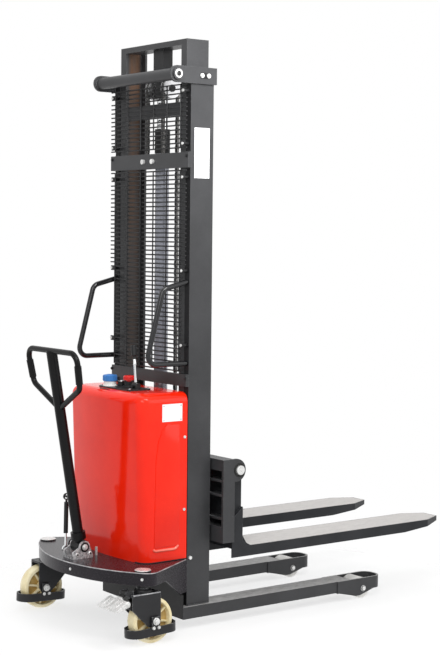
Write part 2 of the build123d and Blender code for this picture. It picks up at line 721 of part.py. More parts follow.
def cylinder_barrel():
    """The lift cylinder's barrel with the hose port."""
    at = (CYLINDER_X, 0)
    barrel = upright(at, BARREL_R, (FOOT_BEAM_TOP, BARREL_TOP))
    port_end = CYLINDER_X - BARREL_R - HOSE_PORT_REACH
    barrel += rod((port_end, 0, HOSE_PORT_Z), (CYLINDER_X, 0, HOSE_PORT_Z), HOSE_R + HOSE_PORT_WALL)
    return barrel - upright(at, BARREL_R - BARREL_WALL, (FOOT_BEAM_TOP + BARREL_FLOOR, BARREL_TOP))


def cylinder_head():
    """The gland head on top of the barrel."""
    at = (CYLINDER_X, 0)
    z = (BARREL_TOP, BARREL_TOP + HEAD_HEIGHT)
    return upright(at, HEAD_R, z) - upright(at, ROD_R + PIN_FIT, z)


def cylinder_clamp():
    """The U bolt that holds the barrel to the middle beam, with its two nuts."""
    y = clamp_y()
    z = sum(MID_BEAM_Z) / 2
    nut_end = -MID_BEAM_THICK - CLAMP_NUT_HEIGHT
    arc = ThreePointArc((CYLINDER_X, -y, z), (CYLINDER_X + y, 0, z), (CYLINDER_X, y, z))
    bow = sweep(Plane(origin=arc @ 0, z_dir=arc % 0) * Circle(CLAMP_WIRE_R), path=arc)
    leg_bar = rod((nut_end, y, z), (CYLINDER_X, y, z), CLAMP_WIRE_R)
    nut = rod((nut_end, y, z), (-MID_BEAM_THICK, y, z), CLAMP_NUT_R)
    return bow + both_sides(leg_bar) + both_sides(nut)


def piston_rod():
    """The chrome rod and its piston, which run in the barrel."""
    at = (CYLINDER_X, 0)
    piston_top = PISTON_Z + PISTON_HEIGHT
    piston = upright(at, BARREL_R - BARREL_WALL - PIN_FIT, (PISTON_Z, piston_top))
    return piston + upright(at, ROD_R, (piston_top, ROD_TOP))


def inner_beam():
    """The left inner channel with the pins of its two mast rollers."""
    depth = (INNER_BACK_X, INNER_BACK_X + INNER_DEPTH)
    beam = channel(depth, INNER_TIP_Y, INNER_OUT_Y, (INNER_FOOT, INNER_TOP))
    for z in MAST_ROLLER_Z:
        beam += across(MAST_CENTRE_X, z, ROLLER_PIN_R, (INNER_WEB_Y, OUTER_WEB_Y - ROLLER_SIDE_GAP))
    return beam


def inner_cross_bars():
    """The crosshead and the rear bar between the inner channels."""
    y = (-INNER_TIP_Y, INNER_TIP_Y)
    crosshead_x = (INNER_BACK_X, INNER_BACK_X + CROSSHEAD_REACH)
    crosshead = block(crosshead_x, y, (INNER_TOP - CROSSHEAD_HEIGHT, INNER_TOP))
    half = REAR_BAR_HEIGHT / 2
    rear = block((INNER_BACK_X, INNER_BACK_X + REAR_BAR_THICK), y, (REAR_BAR_Z - half, REAR_BAR_Z + half))
    return [crosshead, rear]


def sheave_block():
    """The block under the crosshead that stands on the rod and carries the sheave pins."""
    x = (CYLINDER_X - BLOCK_DEPTH / 2, CYLINDER_X + BLOCK_DEPTH / 2)
    body = block(x, (-BLOCK_HALF_WIDTH, BLOCK_HALF_WIDTH), (ROD_TOP, INNER_TOP - CROSSHEAD_HEIGHT))
    pin_end = CHAIN_Y + SHEAVE_WIDTH / 2 + PIN_FIT
    pin = across(CYLINDER_X, SHEAVE_Z, SHEAVE_PIN_R, (0, pin_end))
    pin += across(CYLINDER_X, SHEAVE_Z, SHEAVE_PIN_R + SHEAVE_HEAD, (pin_end, pin_end + SHEAVE_HEAD))
    return body + pin + mirrored(pin)


def chain_sheave():
    """The left grooved sheave."""
    y = (CHAIN_Y - SHEAVE_WIDTH / 2, CHAIN_Y + SHEAVE_WIDTH / 2)
    half = CHAIN_WIDTH / 2 + CHAIN_GAP
    groove_y = (CHAIN_Y - half, CHAIN_Y + half)
    wheel = across(CYLINDER_X, SHEAVE_Z, SHEAVE_RIM_R, y)
    root = SHEAVE_PITCH_R - CHAIN_THICK / 2
    rim = across(CYLINDER_X, SHEAVE_Z, SHEAVE_RIM_R, groove_y)
    wheel -= rim - across(CYLINDER_X, SHEAVE_Z, root, groove_y)
    return wheel - across(CYLINDER_X, SHEAVE_Z, SHEAVE_PIN_R + PIN_FIT, y)


def chain_strand(x, z):
    """One straight run of the left leaf chain."""
    half_x = CHAIN_THICK / 2
    half_y = CHAIN_WIDTH / 2
    return block((x - half_x, x + half_x), (CHAIN_Y - half_y, CHAIN_Y + half_y), z)


def chain_wrap():
    """The half turn of the left chain over its sheave."""
    y = (CHAIN_Y - CHAIN_WIDTH / 2, CHAIN_Y + CHAIN_WIDTH / 2)
    outer = SHEAVE_PITCH_R + CHAIN_THICK / 2
    ring = across(CYLINDER_X, SHEAVE_Z, outer, y)
    ring -= across(CYLINDER_X, SHEAVE_Z, SHEAVE_PITCH_R - CHAIN_THICK / 2 + CHAIN_GAP, y)
    return ring & block((CYLINDER_X - outer, CYLINDER_X + outer), y, (SHEAVE_Z, SHEAVE_Z + outer))


def track_roller(z, radius, y):
    """A left roller that runs in a channel."""
    return across(MAST_CENTRE_X, z, radius, y) - across(MAST_CENTRE_X, z, ROLLER_PIN_R + PIN_FIT, y)


def mast_roller(z):
    """A left roller between the inner beam and the outer channel's web."""
    return track_roller(z, MAST_ROLLER_R, (INNER_OUT_Y + ROLLER_SIDE_GAP, OUTER_WEB_Y - ROLLER_SIDE_GAP))


def carriage_roller(z):
    """A left roller between the carriage's plate and the inner beam's web."""
    return track_roller(z, CARRIAGE_ROLLER_R, (INNER_TIP_Y + ROLLER_SIDE_GAP, INNER_WEB_Y - ROLLER_SIDE_GAP))


def carriage_frame():
    """The welded carriage: roller plates inside the mast, cross bars and side plates with the eyes."""
    inside_y = CARRIAGE_HALF - CARRIAGE_PLATE
    bar_x = (CARRIAGE_BACK, CARRIAGE_FRONT)
    frame = block(bar_x, (-inside_y, inside_y), (CARRIAGE_FOOT, CARRIAGE_FOOT + HEEL_BAR_HEIGHT))
    frame += block(bar_x, (-inside_y, inside_y), (CARRIAGE_TOP - TOP_BAR_HEIGHT, CARRIAGE_TOP))
    chain_bar_x = (CARRIAGE_BACK, CARRIAGE_BACK + ROLLER_PLATE)
    lug_z = (CARRIAGE_LUG_Z - LUG_HEIGHT / 2, CARRIAGE_LUG_Z + LUG_HEIGHT / 2)
    frame += block(chain_bar_x, (-ROLLER_PLATE_Y, ROLLER_PLATE_Y), lug_z)
    half_side = carriage_side() + roller_plate() + chain_lug(lug_z)
    return frame + half_side + mirrored(half_side)


def carriage_side():
    """The left side plate, from the heel bar up to the shaft's eye."""
    y = (CARRIAGE_HALF - CARRIAGE_PLATE, CARRIAGE_HALF)
    eye_x = SHAFT_X - EYE_BEHIND
    points = [
        (CARRIAGE_BACK, CARRIAGE_FOOT),
        (CARRIAGE_FRONT, CARRIAGE_FOOT),
        (CARRIAGE_FRONT, SHAFT_Z),
        (eye_x, SHAFT_Z + EYE_R),
        (CARRIAGE_BACK, CARRIAGE_TOP),
    ]
    plate = side_profile(points, y) + across(eye_x, SHAFT_Z, EYE_R, y)
    return plate - across(SHAFT_X, SHAFT_Z, SHAFT_R + PIN_FIT, y)


def roller_plate():
    """The left plate inside the mast with the pins of its two rollers."""
    y = (ROLLER_PLATE_Y - ROLLER_PLATE, ROLLER_PLATE_Y)
    z = (CARRIAGE_ROLLER_Z[0] - ROLLER_PLATE_MARGIN, CARRIAGE_ROLLER_Z[1] + ROLLER_PLATE_MARGIN)
    plate = block((MAST_CENTRE_X - 2 * ROLLER_PIN_R, CARRIAGE_BACK + ROLLER_PLATE), y, z)
    for roller_z in CARRIAGE_ROLLER_Z:
        plate += across(MAST_CENTRE_X, roller_z, ROLLER_PIN_R, (y[0], INNER_WEB_Y - ROLLER_SIDE_GAP))
    return plate


def chain_lug(z):
    """The left lug on the carriage that the front run of the chain pulls."""
    x = (FRONT_STRAND_X - CHAIN_THICK / 2, CARRIAGE_BACK)
    return block(x, (CHAIN_Y - LUG_WIDTH / 2, CHAIN_Y + LUG_WIDTH / 2), z)


def fork_shaft():
    """The round bar that both forks hang and slide on."""
    reach = CARRIAGE_HALF + TUBE_PAST_PLATE
    return across(SHAFT_X, SHAFT_Z, SHAFT_R, (-reach, reach))


def fork_plan(inset):
    """Plan of a fork blade, pulled in to a blunt point."""
    half = FORK_WIDTH / 2 - inset
    point = FORK_POINT_WIDTH / 2 - inset
    tip = FORK_TIP - inset
    shoulder = FORK_TIP - FORK_POINT_LENGTH
    points = [
        (FORK_HEEL, -half),
        (shoulder, -half),
        (tip, -point),
        (tip, point),
        (shoulder, half),
        (FORK_HEEL, half),
    ]
    return make_face(Polyline(*points, close=True))


def fork():
    """One fork, centred on y = 0: a folded blade open below, a shank and a collar on the shaft."""
    half = FORK_WIDTH / 2
    foot = FORK_TOP - FORK_DEPTH
    outline = [
        (FORK_HEEL, foot),
        (FORK_TAPER_FROM, foot),
        (FORK_TIP, FORK_TOP - FORK_NOSE),
        (FORK_TIP, FORK_TOP),
        (FORK_HEEL, FORK_TOP),
    ]
    blade = side_profile(outline, (-half, half)) & extrude(Pos(0, 0, foot) * fork_plan(0), FORK_DEPTH)
    blade -= extrude(Pos(0, 0, foot) * fork_plan(FORK_SHEET), FORK_DEPTH - FORK_SHEET)
    shank_half = half - SHANK_INSET
    shank_x = (FORK_HEEL, FORK_HEEL + SHANK_THICK)
    shank = block(shank_x, (-shank_half, shank_half), (FORK_TOP, SHAFT_Z))
    collar = across(SHAFT_X, SHAFT_Z, COLLAR_R, (-shank_half, shank_half))
    heel_points = [
        (shank_x[1], FORK_TOP),
        (shank_x[1] + HEEL_FILLET_REACH, FORK_TOP),
        (shank_x[1], FORK_TOP + HEEL_FILLET_HEIGHT),
    ]
    heel = side_profile(heel_points, (-shank_half, shank_half))
    gusset = fork_gusset(half)
    body = blade + shank + heel + collar + gusset + mirrored(gusset)
    return body - across(SHAFT_X, SHAFT_Z, SHAFT_R + COLLAR_FIT, (-half, half))


def fork_gusset(half):
    """The side plate that stiffens the corner between blade and shank."""
    front = FORK_HEEL + FORK_GUSSET_REACH
    points = [
        (FORK_HEEL, FORK_TOP - FORK_SHEET),
        (front + FORK_DEPTH, FORK_TOP - FORK_SHEET),
        (front + FORK_DEPTH, FORK_TOP),
        (front, FORK_TOP + FORK_NOSE),
        (front, FORK_GUSSET_PEAK),
        (FORK_HEEL, FORK_GUSSET_TOP),
    ]
    return side_profile(points, (half - SHANK_INSET - FORK_SHEET, half))


def caster_fork(ears):
    """A swivel fork about x = y = 0 with its axle and toe guard; the axle trails towards +x."""
    crown_top = CROWN_Z + CROWN_THICK
    points = [
        (CROWN_X[0], crown_top),
        (CROWN_X[1], crown_top),
        (CROWN_X[1], WHEEL_R),
        (TRAIL + CHEEK_FOOT_HALF / 2, CHEEK_FOOT_Z),
        (TRAIL - CHEEK_FOOT_HALF, CHEEK_FOOT_Z),
        (CROWN_X[0], CHEEK_SHOULDER_Z),
    ]
    cheek = side_profile(points, (CHEEK_IN, CHEEK_OUT))
    body = block(CROWN_X, (-CHEEK_OUT, CHEEK_OUT), (CROWN_Z, crown_top)) + cheek + mirrored(cheek)
    body += upright((0, 0), RACE_R, (crown_top, RACE_Z - RACE_GAP))
    body += upright((0, 0), KINGPIN_R, (crown_top, KINGPIN_TOP))
    if ears:
        body += pedal_ears()
    guard_half = TOE_GUARD_WIDTH / 2
    axle_reach = guard_half + PEDAL_EAR_THICK
    axle = across(TRAIL, WHEEL_R, WHEEL_AXLE_R, (-axle_reach, axle_reach))
    bore = across(TRAIL, WHEEL_R, WHEEL_AXLE_R + PIN_FIT, (-axle_reach, axle_reach))
    return [body - bore, toe_guard() - bore, axle]


def toe_guard():
    """The flat ring round a caster wheel, hung from the axle by two tabs and dipping at its rear end."""
    inner_length = TOE_GUARD_LENGTH - 2 * TOE_GUARD_WALL
    inner_width = TOE_GUARD_WIDTH - 2 * TOE_GUARD_WALL
    plan = SlotOverall(TOE_GUARD_LENGTH, TOE_GUARD_WIDTH) - SlotOverall(inner_length, inner_width)
    ring = extrude(Pos(TRAIL, 0, TOE_GUARD_Z[0]) * plan, TOE_GUARD_Z[1] - TOE_GUARD_Z[0])
    ring = ring.rotate(Axis((TRAIL, 0, WHEEL_R), (0, 1, 0)), -TOE_GUARD_DIP)
    tab_x = (TRAIL - TOE_GUARD_TAB / 2, TRAIL + TOE_GUARD_TAB / 2)
    tab_z = ((TOE_GUARD_Z[0] + TOE_GUARD_Z[1]) / 2, WHEEL_R + TOE_GUARD_TAB / 2)
    tab = block(tab_x, (TOE_GUARD_WIDTH / 2 - TOE_GUARD_WALL, TOE_GUARD_WIDTH / 2), tab_z)
    return ring + tab + mirrored(tab)


def pedal_ears():
    """The two ears and the pin that carry the brake pedal."""
    x, z = PEDAL_PIVOT
    inner = PEDAL_ARM_HALF + PEDAL_EAR_GAP
    y = (inner, inner + PEDAL_EAR_THICK)
    ear = block((x, CROWN_X[0] + PEDAL_BOSS_R), y, (CROWN_Z, z + PEDAL_BOSS_R))
    ear += across(x, z, PEDAL_BOSS_R, y)
    return ear + mirrored(ear) + across(x, z, PEDAL_PIN_R, (-y[1], y[1]))


def brake_pedal():
    """The foot pedal about the caster's swivel axis, with its tread plate and brake pad."""
    x, z = PEDAL_PIVOT
    reach = WHEEL_R + PEDAL_PAD_GAP + PEDAL_PAD_R
    pad_x = TRAIL + reach * cos(radians(PEDAL_PAD_ANGLE))
    pad_z = WHEEL_R + reach * sin(radians(PEDAL_PAD_ANGLE))
    y = (-PEDAL_ARM_HALF, PEDAL_ARM_HALF)
    pedal = across(x, z, PEDAL_BOSS_R, y) + across(pad_x, pad_z, PEDAL_PAD_R, y)
    pedal += flat_link((x, z), (pad_x, pad_z), PEDAL_SHEET, y)
    pedal += flat_link((x, z), PEDAL_INNER, PEDAL_SHEET, y)
    pedal += pedal_tread()
    return pedal - across(x, z, PEDAL_PIN_R + PIN_FIT, y)


def flat_link(start, end, thick, y):
    """A flat strip between two points of the XZ plane."""
    run = hypot(end[0] - start[0], end[1] - start[1])
    side_x = (end[1] - start[1]) / run * thick / 2
    side_z = (start[0] - end[0]) / run * thick / 2
    points = [
        (start[0] - side_x, start[1] - side_z),
        (end[0] - side_x, end[1] - side_z),
        (end[0] + side_x, end[1] + side_z),
        (start[0] + side_x, start[1] + side_z),
    ]
    return side_profile(points, y)


def pedal_tread():
    """The tread plate, wider at its outer edge."""
    slope = Vector(PEDAL_OUTER[0] - PEDAL_INNER[0], 0, PEDAL_OUTER[1] - PEDAL_INNER[1])
    plane = Plane(origin=(PEDAL_INNER[0], 0, PEDAL_INNER[1]), x_dir=slope, z_dir=slope.cross(Vector(0, 1, 0)))
    near, far = PEDAL_HALF_WIDTHS
    points = [(0, -near), (slope.length, -far), (slope.length, far), (0, near)]
    return extrude(plane * make_face(Polyline(*points, close=True)), PEDAL_SHEET / 2, both=True)


def caster_mount():
    """The fixed swivel housing under the tray and the cap above it, about x = y = 0."""
    under = TRAY_TOP - TRAY_SHEET
    housing = upright((0, 0), RACE_R, (RACE_Z, under - MOUNT_PLATE_THICK))
    housing += upright((0, 0), MOUNT_PLATE_R, (under - MOUNT_PLATE_THICK, under))
    housing -= upright((0, 0), KINGPIN_R + PIN_FIT, (RACE_Z, KINGPIN_TOP + RACE_GAP))
    return [housing, upright((0, 0), CAP_R, (TRAY_TOP, TRAY_TOP + CAP_HEIGHT))]


def caster_wheel():
    """A wheel with a deep tread, a web and a hub; its axle trails towards +x."""
    half = WHEEL_WIDTH / 2
    wheel = across(TRAIL, WHEEL_R, WHEEL_R, (-half, half))
    recess_y = (WHEEL_WEB / 2, half)
    recess = across(TRAIL, WHEEL_R, WHEEL_R - WHEEL_TREAD, recess_y)
    recess -= across(TRAIL, WHEEL_R, WHEEL_HUB_R, recess_y)
    wheel -= both_sides(recess)
    return wheel - across(TRAIL, WHEEL_R, WHEEL_AXLE_R + PIN_FIT, (-half, half))


def on_tiller(y, distance):
    """A point in the leaning plane of the tiller, by its distance from the pivot."""
    lean = radians(TILLER_LEAN)
    return (TILLER_PIVOT[0] - distance * sin(lean), y, TILLER_PIVOT[1] + distance * cos(lean))


def tiller_loop():
    """The bent tube of the handle, from the stem out to the sides and over the top."""
    points = [
        on_tiller(0, LOOP_NECK),
        on_tiller(LOOP_HALF_FOOT, LOOP_FOOT),
        on_tiller(LOOP_HALF_TOP, TILLER_LENGTH),
        on_tiller(0, TILLER_LENGTH),
    ]
    half = swept_tube(points, [LOOP_FOOT_BEND, LOOP_TOP_BEND], LOOP_R)
    return half + mirrored(half)


def tiller():
    """The steering arm: boss, collar, stem, stud for the gas spring and the loop."""
    x, z = TILLER_PIVOT
    boss_y = (-TILLER_BOSS_HALF, TILLER_BOSS_HALF)
    arm = across(x, z, TILLER_BOSS_R, boss_y)
    arm += rod(on_tiller(0, 0), on_tiller(0, TILLER_LENGTH), STEM_R)
    collar_end = TILLER_COLLAR_FROM + TILLER_COLLAR_HEIGHT
    arm += rod(on_tiller(0, TILLER_COLLAR_FROM), on_tiller(0, collar_end), TILLER_COLLAR_R)
    arm += rod(on_tiller(0, SPRING_TOP), on_tiller(stud_end(), SPRING_TOP), SPRING_STUD_R)
    arm += tiller_loop()
    return arm - across(x, z, TILLER_PIN_R + PIN_FIT, boss_y)


def tiller_grip():
    """The left moulded grip on the side of the loop."""
    foot = Vector(*on_tiller(LOOP_HALF_FOOT, LOOP_FOOT))
    along = (Vector(*on_tiller(LOOP_HALF_TOP, TILLER_LENGTH)) - foot).normalized()
    start = tuple(foot + along * GRIP_FROM)
    end = tuple(foot + along * (GRIP_FROM + GRIP_LENGTH))
    return rod(start, end, GRIP_R) - rod(start, end, LOOP_R)


def stud_end():
    """How far the gas spring's studs reach to the left."""
    return SPRING_Y + SPRING_EYE_WIDTH / 2 + SPRING_STUD_PAST


def tiller_bracket():
    """The bracket on the tray with two cheeks, the tiller's pin and the gas spring's lower stud."""
    outer = BRACKET_INSIDE + BRACKET_CHEEK
    x, z = TILLER_PIVOT
    base = block(BRACKET_X, (-outer, outer), (TRAY_TOP, TRAY_TOP + BRACKET_BASE))
    foot_z = TRAY_TOP + BRACKET_BASE
    rear, front = BRACKET_X
    points = [(rear, TRAY_TOP), (front, TRAY_TOP), (front, foot_z), (x + BRACKET_NOSE, z)]
    points += [(x - BRACKET_NOSE, z), (BRACKET_X[0], SPRING_STUD_Z)]
    y = (BRACKET_INSIDE, outer)
    cheek = side_profile(points, y) + across(x, z, BRACKET_NOSE, y)
    bracket = base + both_sides(cheek)
    bracket += across(x, z, TILLER_PIN_R, (-outer, outer))
    return bracket + across(SPRING_STUD_X, SPRING_STUD_Z, SPRING_STUD_R, (BRACKET_INSIDE, stud_end()))


def spring_point(distance):
    """A point on the gas spring's axis, by its distance below the upper stud."""
    top = Vector(*on_tiller(SPRING_Y, SPRING_TOP))
    foot = Vector(SPRING_STUD_X, SPRING_Y, SPRING_STUD_Z)
    return tuple(top + (foot - top).normalized() * distance)


def spring_length():
    """The distance between the gas spring's two studs at rest."""
    top = on_tiller(SPRING_Y, SPRING_TOP)
    return hypot(SPRING_STUD_X - top[0], SPRING_STUD_Z - top[2])


def spring_eye(point, bore):
    """The eye at one end of the gas spring."""
    y = (SPRING_Y - SPRING_EYE_WIDTH / 2, SPRING_Y + SPRING_EYE_WIDTH / 2)
    return across(point[0], point[2], SPRING_EYE_R, y) - across(point[0], point[2], bore, y)


def gas_spring_barrel():
    """The gas spring's barrel with the wide ring round the tiller's stud."""
    end = SPRING_BARREL_FROM + SPRING_BARREL_LENGTH
    neck_foot = spring_point(SPRING_BARREL_FROM + SPRING_BARREL_WALL / 2)
    gland = spring_point(end - SPRING_BARREL_WALL)
    barrel = rod(spring_point(SPRING_BARREL_FROM), spring_point(end), SPRING_BARREL_R)
    bore_from = spring_point(SPRING_BARREL_FROM + SPRING_BARREL_WALL)
    barrel -= rod(bore_from, gland, SPRING_BARREL_R - SPRING_BARREL_WALL)
    barrel -= rod(gland, spring_point(end + SPRING_BARREL_WALL), SPRING_ROD_R + PIN_FIT)
    neck = rod(spring_point(SPRING_EYE_R - SPRING_BARREL_WALL), neck_foot, SPRING_EYE_WIDTH / 2 - PIN_FIT)
    return barrel + neck + spring_eye(spring_point(0), SPRING_TOP_EYE_BORE)


def gas_spring_rod():
    """The gas spring's rod with its piston and the eye on the bracket's stud."""
    end = SPRING_BARREL_FROM + SPRING_BARREL_LENGTH
    start = end - SPRING_ROD_INSIDE
    piston_r = SPRING_BARREL_R - SPRING_BARREL_WALL - PIN_FIT
    length = spring_length()
    shaft = rod(spring_point(start), spring_point(length - SPRING_EYE_R + SPRING_BARREL_WALL), SPRING_ROD_R)
    shaft += rod(spring_point(start), spring_point(start + SPRING_PISTON_LENGTH), piston_r)
    return shaft + spring_eye(spring_point(length), SPRING_STUD_R + PIN_FIT)


def blank_plates():
    """The blank plates on the right side of the mast and the cover."""
    mast = block(MAST_PLATE_X, (-MAST_HALF_WIDTH - PLATE_THICK, -MAST_HALF_WIDTH), MAST_PLATE_Z)
    cover = block(COVER_PLATE_X, (-COVER_HALF_WIDTH - PLATE_THICK, -COVER_HALF_WIDTH), COVER_PLATE_Z)
    return [mast, cover]


def hex_head(start, end, radius):
    """A hexagonal bolt head between two points."""
    axis = Vector(*end) - Vector(*start)
    return extrude(Plane(origin=start, z_dir=axis) * RegularPolygon(radius, 6), axis.length)


def chassis_bolts():
    """The heads on the mast, the cover, the guards and the tray's skirt, and the tiller's stop pin."""
    x, z = MAST_BOLT_AT
    heads = both_sides(hex_head((x, MAST_HALF_WIDTH, z), (x, MAST_HALF_WIDTH + BOLT_HEIGHT, z), BOLT_R))
    for screw_z in COVER_SCREW_Z:
        screw = across(COVER_SCREW_X, screw_z, SCREW_R, (COVER_HALF_WIDTH, COVER_HALF_WIDTH + SCREW_HEIGHT))
        heads += both_sides(screw)
    tab_back = GUARD_X - WIRE
    for tab_z in UPPER_TAB_Z + LOWER_TAB_Z:
        head = rod((tab_back - SCREW_HEIGHT, TAB_Y, tab_z), (tab_back, TAB_Y, tab_z), SCREW_R)
        heads += both_sides(head)
    for screw_y in SKIRT_SCREW_Y:
        heads.append(skirt_screw(screw_y))
    heads.append(upright(STOP_PIN_AT, STOP_PIN_R, (TRAY_TOP, TRAY_TOP + STOP_PIN_HEIGHT)))
    return heads


def skirt_screw(y):
    """A screw head on the rear arc of the tray's skirt."""
    centre_x = TRAY_REAR_R - TRAY_REAR
    z = TRAY_TOP - SKIRT_SCREW_DROP
    outwards = Vector(-((TRAY_REAR_R**2 - y**2) ** 0.5), y, 0).normalized()
    seat = Vector(centre_x, 0, z) + outwards * (TRAY_REAR_R - PIN_FIT)
    head = rod(tuple(seat), tuple(seat + outwards * (SCREW_HEIGHT + PIN_FIT)), SCREW_R)
    return head - upright((centre_x, 0), TRAY_REAR_R, (z - SCREW_R, z + SCREW_R))


def sides(name, shape):
    """The left and right nodes of a piece that is mirrored."""
    return {"left_" + name: shape, "right_" + name: mirrored(shape)}


def shifted(shapes, x, y):
    """Copies of one or more shapes at another place."""
    return [Pos(x, y, 0) * shape for shape in shapes]


def chassis():
    """Everything that stands still."""
    valve_z = TRAY_TOP + TANK_SIZE[2]
    motor_z = valve_z + VALVE_SIZE[2]
    nodes = {"base_tray": base_tray(), "rear_beam": rear_beam()}
    nodes["left_leg"] = shifted(leg(), 0, LEG_Y)
    nodes["right_leg"] = shifted(leg(), 0, -LEG_Y)
    nodes.update(sides("mast_channel", mast_channel()))
    nodes["mast_end_plates"] = both_sides(end_plate())
    nodes["cross_tube"] = cross_tube()
    nodes["mast_beams"] = mast_beams()
    nodes["upper_guard"] = guard(UPPER_GUARD_Z, MAST_TOP - END_PLATE_HEIGHT, UPPER_TAB_Z)
    nodes["lower_guard"] = guard(LOWER_GUARD_Z, MID_BEAM_Z[0], LOWER_TAB_Z)
    nodes.update(sides("grab_handle", grab_handle()))
    nodes["power_cover"] = power_cover()
    nodes["console_plate"] = console_plate()
    nodes["console_fittings"] = console_fittings()
    nodes["battery"] = standing_box(BATTERY_AT, BATTERY_SIZE, TRAY_TOP)
    nodes["oil_tank"] = standing_box(TANK_AT, TANK_SIZE, TRAY_TOP)
    nodes["valve_block"] = standing_box(TANK_AT, VALVE_SIZE, valve_z)
    nodes["pump_motor"] = upright(TANK_AT, MOTOR_R, (motor_z, motor_z + MOTOR_HEIGHT))
    nodes["hydraulic_hose"] = hydraulic_hose()
    nodes["cylinder_barrel"] = cylinder_barrel()
    nodes["cylinder_head"] = cylinder_head()
    nodes["cylinder_clamp"] = cylinder_clamp()
    nodes["tiller_bracket"] = tiller_bracket()
    mount = caster_mount()
    nodes["caster_mounts"] = shifted(mount, CASTER_X, CASTER_Y) + shifted(mount, CASTER_X, -CASTER_Y)
    nodes["blank_plates"] = blank_plates()
    nodes["chassis_bolts"] = chassis_bolts()
    anchor_z = MID_BEAM_Z[1] - BOLT_HEIGHT
    nodes["rear_chains"] = both_sides(chain_strand(BEHIND_STRAND_X, (anchor_z, SHEAVE_Z)))
    return nodes


def lifting_gear():
    """The inner mast, the chains, the carriage and the forks."""
    nodes = sides("inner_beam", inner_beam())
    nodes["inner_cross_bars"] = inner_cross_bars()
    nodes["piston_rod"] = piston_rod()
    nodes["sheave_block"] = sheave_block()
    nodes["chain_sheaves"] = both_sides(chain_sheave())
    nodes["chain_wraps"] = both_sides(chain_wrap())
    lug_top = CARRIAGE_LUG_Z + LUG_HEIGHT / 2
    nodes["front_chains"] = both_sides(chain_strand(FRONT_STRAND_X, (lug_top, SHEAVE_Z)))
    for place, z in zip(("lower", "upper"), MAST_ROLLER_Z):
        nodes[place + "_mast_rollers"] = both_sides(mast_roller(z))
    for place, z in zip(("lower", "upper"), CARRIAGE_ROLLER_Z):
        nodes[place + "_carriage_rollers"] = both_sides(carriage_roller(z))
    nodes["carriage_frame"] = carriage_frame()
    nodes["fork_shaft"] = fork_shaft()
    nodes["left_fork"] = Pos(0, FORK_Y, 0) * fork()
    nodes["right_fork"] = Pos(0, -FORK_Y, 0) * fork()
    return nodes


def running_gear():
    """The load rollers, the casters and the brake pedal."""
    nodes = {"left_load_roller": Pos(0, LEG_Y, 0) * load_roller()}
    nodes["right_load_roller"] = Pos(0, -LEG_Y, 0) * load_roller()
    about = Rot(0, 0, 180)
    nodes["left_caster_fork"] = shifted([about * shape for shape in caster_fork(False)], CASTER_X, CASTER_Y)
    nodes["right_caster_fork"] = shifted(caster_fork(True), CASTER_X, -CASTER_Y)
    nodes["left_wheel"] = Pos(CASTER_X, CASTER_Y, 0) * about * caster_wheel()
    nodes["right_wheel"] = Pos(CASTER_X, -CASTER_Y, 0) * caster_wheel()
    nodes["brake_pedal"] = Pos(CASTER_X, -CASTER_Y, 0) * brake_pedal()
    return nodes


def controls():
    """The tiller with its gas spring, and the hand controls on the console."""
    nodes = {"tiller": tiller(), "tiller_grips": both_sides(tiller_grip())}
    nodes["gas_spring_barrel"] = gas_spring_barrel()
    nodes["gas_spring_rod"] = gas_spring_rod()
    nodes["control_lever"] = control_lever()
    nodes["stop_button"] = stop_button()
    nodes["filler_cap"] = filler_cap()
    return nodes


def frame_shift():
    """How far back the model moves to put x = 0 midway between the tiller's rear and the fork tips."""
    rear = on_tiller(0, TILLER_LENGTH)[0] - STEM_R * cos(radians(TILLER_LEAN))
    return -(rear + FORK_TIP) / 2


def main():
    """Write one file per node, with the origin on the floor below the middle of the stacker."""
    os.makedirs("parts", exist_ok=True)
    shift = Pos(frame_shift(), 0, 0)
    for group in (chassis(), lifting_gear(), running_gear(), controls()):
        for name, shape in group.items():
            pieces = shape if isinstance(shape, list) else [shape]
            moved = [shift * piece for piece in pieces]
            export_step(moved[0] if len(moved) == 1 else Compound(children=moved), f"parts/{name}.step")


if __name__ == "__main__":
    main()
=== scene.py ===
import bmesh
import bpy
import json
from math import cos, pi, radians, sin
from mathutils import Matrix, Vector


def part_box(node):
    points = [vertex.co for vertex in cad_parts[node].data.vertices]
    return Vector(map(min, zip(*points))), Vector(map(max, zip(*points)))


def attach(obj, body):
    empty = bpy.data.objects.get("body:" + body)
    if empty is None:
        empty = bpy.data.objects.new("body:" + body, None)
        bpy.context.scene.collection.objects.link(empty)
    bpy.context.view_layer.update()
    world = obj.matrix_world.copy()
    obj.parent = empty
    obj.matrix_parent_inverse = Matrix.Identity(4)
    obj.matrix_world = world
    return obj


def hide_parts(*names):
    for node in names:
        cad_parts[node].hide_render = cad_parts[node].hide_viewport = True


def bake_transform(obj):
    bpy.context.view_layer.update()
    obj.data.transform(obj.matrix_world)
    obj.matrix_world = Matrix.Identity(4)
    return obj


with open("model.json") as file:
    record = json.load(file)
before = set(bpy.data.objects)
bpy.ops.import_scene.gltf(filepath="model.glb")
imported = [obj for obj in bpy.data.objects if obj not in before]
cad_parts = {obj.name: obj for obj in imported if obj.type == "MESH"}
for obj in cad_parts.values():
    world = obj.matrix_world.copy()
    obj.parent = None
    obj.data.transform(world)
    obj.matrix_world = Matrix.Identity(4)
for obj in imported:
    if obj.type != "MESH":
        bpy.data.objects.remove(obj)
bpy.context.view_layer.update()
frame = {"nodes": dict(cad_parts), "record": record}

# Sizes below are in millimetres with x = 0 on the rear face of the mast, as in the CAD source.
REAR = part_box("left_mast_channel")[0].x


def P(x, y, z):
    """A point of the model in the frame's metres."""
    return Vector((REAR + x / 1000, y / 1000, z / 1000))


# Shader helpers

